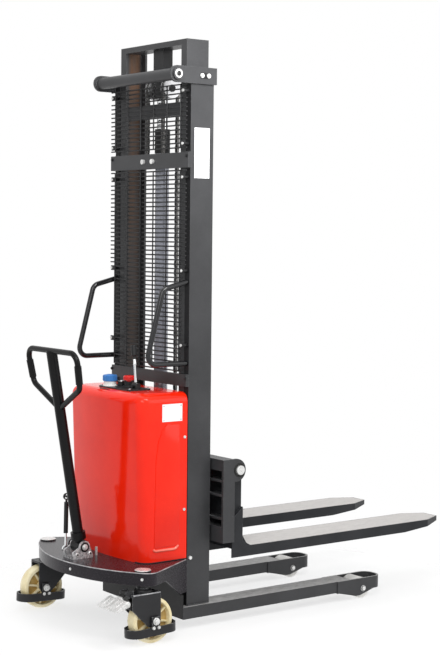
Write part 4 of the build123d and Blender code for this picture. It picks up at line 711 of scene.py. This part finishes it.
TRAY_TOP = 250.0
CAP_DOME = [(28.6, 4.0), (28.6, 5.0), (27, 6.2), (20, 7.0), (12, 7.4), (4, 7.5)]


def swivel_caps():
    """Domed steel discs on the tray above the two swivels."""
    shape = Shape()
    for y in (LY, RY):
        shape.lathe((SX, y, TRAY_TOP), (0, 0, 1), CAP_DOME, 48)
    shape.make("swivel_cap_domes", "zinc_plate", "chassis")


swivel_caps()
PEDAL_LIP_X = SX - 143.0
PEDAL_LIP_Z = 139.0
PEDAL_OUTER = Vector((PEDAL_LIP_X, 0, 140.0))
PEDAL_INNER = Vector((SX - 98.0, 0, 167.0))
PEDAL_TOP = 2.4
PEDAL_PIN_BACK = 4.0
PEDAL_END_R = 11.0
PEDAL_HALF = 60.0
PEDAL_TAPER = 6.0


def pedal_lip():
    """The rolled edge of the brake pedal's tread."""
    shape = Shape()
    bow = [(0.0, -59.0), (-0.6, 0.0), (0.0, 59.0)]
    shape.tube([(PEDAL_LIP_X + x, RY + y, PEDAL_LIP_Z) for x, y in bow], 2.6, 10)
    shape.make("pedal_rolled_edge", "zinc_plate", "pedal")


pedal_lip()


def pedal_pressing():
    """The pedal's raised tread strips and its turned-down sides with the rounded, bolted ends."""
    run = (PEDAL_INNER - PEDAL_OUTER).length
    along = (PEDAL_INNER - PEDAL_OUTER).normalized()
    up = Vector((-along.z, 0, along.x))

    def spot(far, high, y):
        """A point of the leaning pedal."""
        return PEDAL_OUTER + along * far + up * high + Vector((0, RY + y, 0))

    strips = Shape()
    for y in (-39.0, -13.0, 13.0, 39.0):
        strips.tube([spot(far, PEDAL_TOP, y) for far in (7.0, 10.0, 42.0, 45.0)], 1.3, 8)
    strips.make("pedal_tread_strips", "zinc_plate", "pedal")
    sides = Shape()
    pin = run - PEDAL_PIN_BACK
    flat = [(1.0, PEDAL_TOP), (1.0, -5.0)]
    for step in range(9):
        turn = pi * (step / 8 - 0.5)
        flat.append((pin + PEDAL_END_R * cos(turn), PEDAL_TOP - PEDAL_END_R + PEDAL_END_R * sin(turn)))
    for side in (1, -1):
        rim = []
        for far, high in flat:
            half = PEDAL_HALF - PEDAL_TAPER * min(far / run, 1.0) - 1.0
            rim.append(spot(far, high, side * half))
        sides.slab(rim, (0, side * 3.0, 0), 0.8)
        sides.hexagon(spot(pin, PEDAL_TOP - PEDAL_END_R, side * 56.6), (0, side, 0), 4.6, 3.6, 6.4)
    sides.make("pedal_sides", "zinc_plate", "pedal")


pedal_pressing()


LEG_Y = 215.0
ROLLER_X = 823.0
ROLLER_Z = 40.0
YOKE_HALF = 48.2


def load_roller_ends():
    """Axle heads and lock nuts on both yokes."""
    shape = Shape()
    for y in (LEG_Y, -LEG_Y):
        for side in (1, -1):
            shape.hexagon((ROLLER_X, y + side * YOKE_HALF, ROLLER_Z), (0, side, 0), 8.5, 5.0, 11.5)
    shape.make("yoke_axle_nuts", "zinc_plate", "chassis")


load_roller_ends()


# Power unit cover and console

COVER_HALF = 240.0
COVER_TOP = 845.0
COVER_WALL = 4.0
COVER_REAR = -185.0
COVER_LEAN = 20.0
COVER_BACK = -2.0
COVER_CORNER_R = 42.0
COVER_BROW_R = 34.0
COVER_BOW = 15.0
FIELD_OUTLINE = [(-141, 304), (-136, 607), (-127, 670), (-111, 716), (-90, 736), (-38, 734), (-34, 728),
                 (-34, 304)]
FIELD_BEAD = [(-143, 299), (-139.5, 294.5), (-134, 292), (-54, 292), (-47, 294.5), (-38, 304)]
SEAL_Z = 251.5


def corners(z, half, rear, corner):
    """The rounded right and left rear corners of one level of the cover."""
    right, left = [], []
    for k in range(9):
        turn = pi / 2 * k / 8
        right.append((rear + corner - corner * sin(turn), -half + corner - corner * cos(turn), z))
        left.append((rear + corner - corner * cos(turn), half - corner + corner * sin(turn), z))
    return right, left


def cover_outline(z, half, rear, corner, crown):
    """One level of the cover: straight sides, round corners and a slightly bowed rear face."""
    right, left = corners(z, half, rear, corner)
    flat = half - corner
    bow = []
    for k in range(1, 24):
        y = flat * (k / 12 - 1)
        bow.append((rear - crown * (1 - (y / flat) ** 2), y, z))
    return [(COVER_BACK, -half, z)] + right + bow + left + [(COVER_BACK, half, z)]


def cover_skin(wall):
    """The levels of the cover's outer skin, or of its inner skin a wall's thickness inside."""
    top, brow = COVER_TOP - wall, COVER_BROW_R - wall
    edge = top - brow
    levels = [TRAY_TOP + (edge - TRAY_TOP) * k / 14 for k in range(15)]
    levels += [edge + brow * sin(pi / 2 * k / 10) for k in range(1, 11)]
    rings = []
    for z in levels:
        up = max(0.0, z - edge)
        inset = brow - max(0.0, brow * brow - up * up) ** 0.5
        rear = COVER_REAR - COVER_LEAN * (z - TRAY_TOP) / (COVER_TOP - TRAY_TOP) + inset + wall
        corner = COVER_CORNER_R - wall - inset * 0.5
        crown = COVER_BOW * (1 - inset / brow)
        rings.append(cover_outline(z, COVER_HALF - inset - wall, rear, corner, crown))
    return rings


def cover_shell():
    """The moulded cover: a leaning, bowed rear face and a round brow, open towards the mast."""
    outer, inner = cover_skin(0.0), cover_skin(COVER_WALL)
    count, high = len(outer[0]), len(outer)
    verts = [v for ring in outer + inner for v in ring]
    past = high * count
    faces = [tuple((high - 1) * count + k for k in range(count)),
             tuple(past + (high - 1) * count + k for k in reversed(range(count)))]
    for i in range(high - 1):
        a, b = i * count, (i + 1) * count
        for k in range(count - 1):
            faces.append((a + k, a + k + 1, b + k + 1, b + k))
            faces.append((past + b + k, past + b + k + 1, past + a + k + 1, past + a + k))
        for k in (0, count - 1):
            faces.append((a + k, b + k, past + b + k, past + a + k))
    for k in range(count - 1):
        faces.append((past + k, past + k + 1, k + 1, k))
    last = (high - 1) * count
    faces.append((last, last + count - 1, past + last + count - 1, past + last))
    shape = Shape()
    shape.join(verts, faces)
    shape.make("cover_shell", "red_cover", "chassis", smooth=40.0, replaces=("power_cover",))


def cover_side():
    """A thin field with a bead at its foot on each side of the cover, the bead in a paler red that paints its
    highlight, and a dark slot in its brow.
    """
    field, ledge = Shape(), Shape()
    for side in (1, -1):
        y = side * (COVER_HALF - 1.0)
        field.slab([(x, y, z) for x, z in FIELD_OUTLINE], (0, side * 3.8, 0), 2.2)
        ledge.tube([(x, side * (COVER_HALF - 0.8), z) for x, z in FIELD_BEAD], 4.8, 12)
    field.make("cover_side_fields", "red_cover", "chassis")
    ledge.make("cover_side_ledges", "red_highlight_paint", "chassis", slot="red_cover")
    dark = Shape()
    dark.box((-188, -181), (-12, 48), (840.0, 845.6), 1.0)
    dark.make("cover_brow_slot", "black_plastic", "chassis")


def cover_seam():
    """The dark seal round the foot of the cover."""
    shape = Shape()
    half = COVER_HALF - 1.0
    right, left = corners(SEAL_Z, half, COVER_REAR + 0.5, COVER_CORNER_R)
    path = [(COVER_BACK - 1.0, -half, SEAL_Z)] + right + left + [(COVER_BACK - 1.0, half, SEAL_Z)]
    shape.tube(path, 2.4, 8)
    shape.make("cover_foot_seal", "black_rubber", "chassis")


cover_shell()
cover_side()
cover_seam()


CONSOLE_Z = 850.0
GAUGE = (-106, 29)
BUTTON = (-102, -15)
FILLER = (-142, 50)
BEZEL = [(9.5, 0), (13.2, 0), (13.6, 1.0), (13.2, 2.4), (10.2, 2.6), (9.5, 1.6)]
COLLAR = [(15.4, 0), (23, 0), (23, 2.2), (21.6, 4.0), (15.4, 4.4)]
NECK = [(17.2, 0), (26, 0), (26, 2.4), (24.6, 3.6), (22.6, 4.2), (22.6, 16.6), (21.6, 17.6), (17.2, 17.6)]
LID_RING = [(9, -0.4), (15, -0.4), (15, 0.8), (13.6, 1.6), (10.4, 1.6), (9, 0.8)]
CAP_RIBS = 22
LEVER_FOOT = Vector((-118.0, -85.0, 862.0))
LEVER_TOP = Vector((-112.0, -62.0, 984.0))
LEVER_ROD = [(5.2, 0), (5.3, 1), (5.3, 62), (6, 63), (6, 72), (5.3, 73), (5.2, 83)]


def console():
    """Gauge, collars and fixings on top of the cover."""
    metal = Shape()
    metal.ring((*GAUGE, 866.1), (0, 0, 1), BEZEL, 40)
    for x, y in ((-160, -108), (-82, -108), (-160, 78), (-82, 78)):
        metal.hexagon((x, y, CONSOLE_Z), (0, 0, 1), 3.6, 2.6, 5.0)
    metal.make("console_rings", "bright_steel", "chassis")
    face = Shape()
    face.lathe((*GAUGE, 865.9), (0, 0, 1), [(9.6, 0), (9.6, 0.5), (8.6, 0.9)], 40)
    face.make("gauge_face", "plate_white", "chassis")
    needle = Shape()
    needle.box((-107, -105.2), (29, 36), (866.6, 867.3), 0.15)
    needle.lathe((*GAUGE, 866.5), (0, 0, 1), [(1.7, 0), (1.7, 0.9), (1.2, 1.2)], 16)
    needle.make("gauge_needle", "black_plastic", "chassis")
    base = Shape()
    base.ring((*BUTTON, CONSOLE_Z), (0, 0, 1), COLLAR, 48)
    base.make("button_collar", "black_plastic", "chassis")
    neck = Shape()
    neck.ring((*FILLER, CONSOLE_Z), (0, 0, 1), NECK, 48)
    neck.make("filler_neck_sleeve", "neck_white", "chassis", slot="plate_white")


def cap_ribs():
    """Finger ribs round the filler cap and a raised ring on its lid."""
    low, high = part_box("filler_cap")
    radius = (high.y - low.y) * 500
    foot, top = low.z * 1000, high.z * 1000
    shape = Shape()
    for k in range(CAP_RIBS):
        turn = 2 * pi * k / CAP_RIBS
        x, y = FILLER[0] + radius * cos(turn), FILLER[1] + radius * sin(turn)
        shape.tube([(x, y, foot + 2.0), (x, y, top - 3.0)], 1.3, 6)
    shape.ring((*FILLER, top), (0, 0, 1), LID_RING, 40)
    shape.make("cap_ribs", "blue_cap", "cap")


def lever_rod():
    """The bright rod of the lift lever with a collar under its knob."""
    along = (LEVER_TOP - LEVER_FOOT).normalized()
    rod = Shape()
    rod.lathe(LEVER_FOOT + along * 10, along, LEVER_ROD, 20)
    rod.make("lever_rod_sleeve", "chrome_rod", "lever")


console()
cap_ribs()
lever_rod()


# Mast, carriage and forks

HEAD_Z = 1955.0
TUBE_X = -65.0
TUBE_END_Y = 259.9
TUBE_RING = [(9, 0), (15.5, 0), (15.5, 1.2), (14.4, 2.0), (10, 2.0), (9, 1.2)]
TUBE_PLUG = [(9.2, 0), (9.2, 0.8), (8.4, 1.2)]
SLOT_R = 10.5
SLOT_X = (68.0, 40.0)
SLOT_Y = 251.5
BOLT_Y = 252.6
BEAM_SCREWS = ((-16.0, 1675.0), (-12.0, 893.0))
BEAM_SCREW_Y = 240.0
FOOT_WELD = ((4, 81.5), (92, 81.5))
FOOT_WELD_Y = 243.0
BEAM_WELD_X = -1.4
BEAM_WELD_Y = (216.0, 240.0)
BEAM_WELD_Z = (1689.4, 1632.6)
PLATES = ((16, 81, 1598, 1774, -243.0), (-110, -25, 745, 807, -241.0))
RIVET = [(2.8, 0), (2.8, 1.2), (2.0, 2.0), (0.7, 2.4)]
RIVET_INSET = 6
RIB_Z = (389.0, 472.0, 524.0)
RIB_Y = (214.0, 296.0)
SHAFT = (182, 561)
SHAFT_GAP_RING = [(17.2, 0), (25, 0), (25, 1.8), (23.8, 3.0), (18.4, 3.0), (17.2, 1.8)]
SHAFT_CAP = [(16.6, 0), (16.6, 0.8), (15.2, 1.8), (5, 1.8)]
SHAFT_STUD = [(4.4, 0), (4.4, 0.8), (3.6, 1.4)]


def bead(radius, size):
    """The section of a round weld bead, as (radius, distance) pairs."""
    return [(radius + size * cos(pi * k / 4), size * sin(pi * k / 4)) for k in range(8)]


def ripple(a, b, pitch):
    """Points between two ends that waver a little, as a hand weld does."""
    a, b = Vector(a), Vector(b)
    count = max(2, int((b - a).length / pitch))
    return [a.lerp(b, i / count) + Vector((0, 0, 0.5 * (i % 2))) for i in range(count + 1)]


def frame_fixings():
    """Slots with bolts in the end plates, rings on the cross tube, beam screws and weld beads."""
    dark, zinc, weld = Shape(), Shape(), Shape()
    for side in (1, -1):
        out = (0, side, 0)
        outline = []
        for x, start in zip(SLOT_X, (-90, 90)):
            for k in range(9):
                turn = radians(start + 22.5 * k)
                outline.append((x + SLOT_R * cos(turn), side * SLOT_Y, HEAD_Z + SLOT_R * sin(turn)))
        dark.slab(outline, (0, side * 1.2, 0), 0.5)
        for x in reversed(SLOT_X):
            zinc.hexagon((x, side * BOLT_Y, HEAD_Z), out, 6.0, 4.4, 8.4)
        for x, z in BEAM_SCREWS:
            dark.hexagon((x, side * BEAM_SCREW_Y, z), (-1, 0, 0), 4.4, 3.4, 6.2)
        zinc.ring((TUBE_X, side * TUBE_END_Y, HEAD_Z), out, TUBE_RING, 40)
        dark.lathe((TUBE_X, side * (TUBE_END_Y - 0.2), HEAD_Z), out, TUBE_PLUG, 32)
        weld.ring((TUBE_X, side * 241.4, HEAD_Z), out, bead(22.0, 2.0), 40)
        foot = [(x, side * FOOT_WELD_Y, z) for x, z in FOOT_WELD]
        weld.tube(ripple(*foot, 2.6), 2.8, 8)
        for z in BEAM_WELD_Z:
            beam = [(BEAM_WELD_X, side * y, z) for y in BEAM_WELD_Y]
            weld.tube(ripple(*beam, 1.4), 2.0, 8)
    dark.make("end_plate_slots", "black_parts", "chassis")
    zinc.make("end_plate_bolts", "zinc_plate", "chassis")
    weld.make("frame_welds", "mast_paint", "chassis")


def plate_rivets():
    """Four rivets on each blank plate."""
    shape = Shape()
    for x0, x1, z0, z1, y in PLATES:
        for x in (x0 + RIVET_INSET, x1 - RIVET_INSET):
            for z in (z0 + RIVET_INSET, z1 - RIVET_INSET):
                shape.lathe((x, y + 0.4, z), (0, -1, 0), RIVET, 18)
    shape.make("plate_rivets", "bright_steel", "chassis")


def carriage_bars():
    """The thin bars between the carriage's plates, black rings round the fork shaft that paint the shade of
    the gap in the eye, and its end caps.
    """
    bars, collars, ends = Shape(), Shape(), Shape()
    x, z = SHAFT
    for side in (1, -1):
        out = (0, side, 0)
        for height in RIB_Z:
            bars.box((111, 150), sorted(side * y for y in RIB_Y), (height - 4, height + 4), 1.5)
        # Black rings round the shaft: painted shade of the gap between shaft and eye.
        collars.ring((x, side * 306.8, z), out, SHAFT_GAP_RING, 48)
        ends.lathe((x, side * 314.8, z), out, SHAFT_CAP, 40)
        ends.lathe((x, side * 316.4, z), out, SHAFT_STUD, 24)
    bars.make("carriage_ribs", "mast_paint", "carriage")
    collars.make("shaft_gap_shade_rings", "black_rubber", "carriage")
    ends.make("shaft_ends", "zinc_plate", "carriage")


frame_fixings()
plate_rivets()
carriage_bars()


# Tiller bracket and tray

PIVOT = (-297.0, 290.0)
PIVOT_WASHER = [(17.5, 0), (17.5, 1.2), (16.6, 1.8)]
SCREW_X = (-328.0, -275.0)
SCREW_Z = 266.0
SCREW_HEAD = [(7.0, 0), (7.0, 3.4), (6.2, 4.2)]
SCREW_SOCKET = [(3.8, 0), (3.8, 0.8), (3.4, 1.0)]


def bracket_bolts():
    """The pivot bolt's head and nut on the tiller bracket, on dark washers, and its socket screws."""
    zinc, dark = Shape(), Shape()
    low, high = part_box("tiller_bracket")
    x, z = PIVOT
    for side, y in ((1, high.y * 1000), (-1, low.y * 1000)):
        out = (0, side, 0)
        dark.lathe((x, y - side * 0.3, z), out, PIVOT_WASHER, 32)
        zinc.hexagon((x, y + side * 1.2, z), out, 8.0, 6.0, 11.0)
        for screw in SCREW_X:
            zinc.lathe((screw, y - side * 0.3, SCREW_Z), out, SCREW_HEAD, 24)
            dark.lathe((screw, y + side * 3.6, SCREW_Z), out, SCREW_SOCKET, 6)
    zinc.make("bracket_bolts", "zinc_plate", "chassis")
    dark.make("bracket_sockets", "black_parts", "chassis")


bracket_bolts()
RIM_Z = 248.9
RIM_R = 1.9
ARC_X = 182.0
ARC_R = 560.0
ARC_END = 38.5
CORNER_AT = (-224.8, 323.8)
CORNER_R = 40.0
CORNER_FROM = 141.5
CORNER_SWEEP = 81.1
RIM_END = (-10.0, 247.7)


def tray_rim():
    """The rounded rim of the tray in a pale grey that paints its highlight: the rear arc, two rounded corners
    and the straight sides.
    """
    half = []
    for step in range(13):
        turn = radians(ARC_END) * step / 12
        half.append((ARC_X - ARC_R * cos(turn), ARC_R * sin(turn)))
    for step in range(1, 9):
        turn = radians(CORNER_FROM - CORNER_SWEEP * step / 8)
        half.append((CORNER_AT[0] + CORNER_R * cos(turn), CORNER_AT[1] + CORNER_R * sin(turn)))
    half.append(RIM_END)
    path = [(x, -y, RIM_Z) for x, y in reversed(half[1:])] + [(x, y, RIM_Z) for x, y in half]
    shape = Shape()
    shape.tube(path, RIM_R, 8)
    shape.make("tray_rim", "edge_highlight_grey", "chassis", slot="black_parts")


tray_rim()


# Floor, light and camera

FLOOR = 9.0
CLEAR_AT = 2.2
PHOTO_HEIGHT = 655
FOCAL_PIXELS = 1521.6
SENSOR = 36.0
EYE = (-3098.4, -4598.9, 1406.9)


def floor():
    """A pale floor that fades into the white background and keeps the shadow."""
    data = bpy.data.meshes.new("floor")
    square = [(x * FLOOR, y * FLOOR, 0) for x, y in ((-1, -1), (1, -1), (1, 1), (-1, 1))]
    data.from_pydata(square, [], [(0, 1, 2, 3)])
    thing = bpy.data.objects.new("floor", data)
    bpy.context.scene.collection.objects.link(thing)
    material = bpy.data.materials.new("pale_floor")
    material.use_nodes = True
    tree = material.node_tree
    shader = tree.nodes["Principled BSDF"]
    place = add(tree, "ShaderNodeTexCoord").outputs["Object"]
    broad = noise(tree, place, 1.2, 4.0)
    pale = ramp(tree, broad, (0.3, (0.94, 0.94, 0.94)), (0.7, (0.97, 0.97, 0.97)))
    link(tree, pale, shader.inputs["Base Color"])
    shader.inputs["Roughness"].default_value = 0.7
    shader.inputs["Specular IOR Level"].default_value = 0.1
    far = add(tree, "ShaderNodeVectorMath", operation="LENGTH")
    link(tree, place, far.inputs[0])
    fade = spread(tree, far.outputs["Value"], 0.3, 0.0, 0.9, CLEAR_AT)
    link(tree, fade, shader.inputs["Alpha"])
    data.materials.append(material)


def lamp(name, at, target, size, power):
    """A soft area light that looks at a point."""
    data = bpy.data.lights.new(name, "AREA")
    data.shape = "RECTANGLE"
    data.size, data.size_y = size
    data.energy = power
    thing = bpy.data.objects.new(name, data)
    thing.location = at
    thing.rotation_euler = (Vector(target) - Vector(at)).to_track_quat("-Z", "Y").to_euler()
    bpy.context.scene.collection.objects.link(thing)


def backdrop():
    """White where the camera, a reflection or clear glass sees it, and a softer light elsewhere."""
    world = bpy.data.worlds.new("studio")
    bpy.context.scene.world = world
    world.use_nodes = True
    tree = world.node_tree
    tree.nodes.clear()
    seen = add(tree, "ShaderNodeBackground", Color=(1, 1, 1, 1), Strength=1.0)
    lit = add(tree, "ShaderNodeBackground", Color=(1, 1, 1, 1), Strength=0.8)
    path = add(tree, "ShaderNodeLightPath")
    either = add(tree, "ShaderNodeMath", operation="MAXIMUM")
    all_three = add(tree, "ShaderNodeMath", operation="MAXIMUM")
    choose = add(tree, "ShaderNodeMixShader")
    out = add(tree, "ShaderNodeOutputWorld")
    link(tree, path.outputs["Is Camera Ray"], either.inputs[0])
    link(tree, path.outputs["Is Glossy Ray"], either.inputs[1])
    link(tree, either.outputs[0], all_three.inputs[0])
    link(tree, path.outputs["Is Transmission Ray"], all_three.inputs[1])
    link(tree, all_three.outputs[0], choose.inputs[0])
    link(tree, lit.outputs[0], choose.inputs[1])
    link(tree, seen.outputs[0], choose.inputs[2])
    link(tree, choose.outputs[0], out.inputs["Surface"])


def camera():
    """The camera of the photo: seen from behind on the right, a little above the middle."""
    heading, pitch, roll = radians(53.414), radians(3.557), radians(0.587)
    forward = Vector((cos(pitch) * cos(heading), cos(pitch) * sin(heading), -sin(pitch)))
    right = forward.cross(Vector((0, 0, 1))).normalized()
    up = right.cross(forward)
    level_right = right * cos(roll) + up * sin(roll)
    level_up = up * cos(roll) - right * sin(roll)
    data = bpy.data.cameras.new("camera")
    data.sensor_fit = "VERTICAL"
    data.sensor_height = SENSOR
    data.lens = FOCAL_PIXELS / PHOTO_HEIGHT * SENSOR
    thing = bpy.data.objects.new("camera", data)
    turn = Matrix((level_right, level_up, -forward)).transposed().to_4x4()
    thing.matrix_world = Matrix.Translation(P(*EYE)) @ turn
    bpy.context.scene.collection.objects.link(thing)
    bpy.context.scene.camera = thing


floor()
backdrop()
camera()
lamp("key", (-3.2, -3.0, 3.4), (-0.2, 0, 0.9), (2.2, 2.2), 75)
lamp("fill", (1.8, -3.4, 2.2), (0, 0, 0.9), (2.4, 2.4), 24)
lamp("top", (0, 0.4, 4.2), (0, 0, 0), (3.0, 3.0), 30)
lamp("head", (REAR - 0.1, -1.15, 2.25), (REAR, -0.25, 1.9), (0.7, 0.5), 19)
bpy.context.scene.view_settings.view_transform = "Standard"
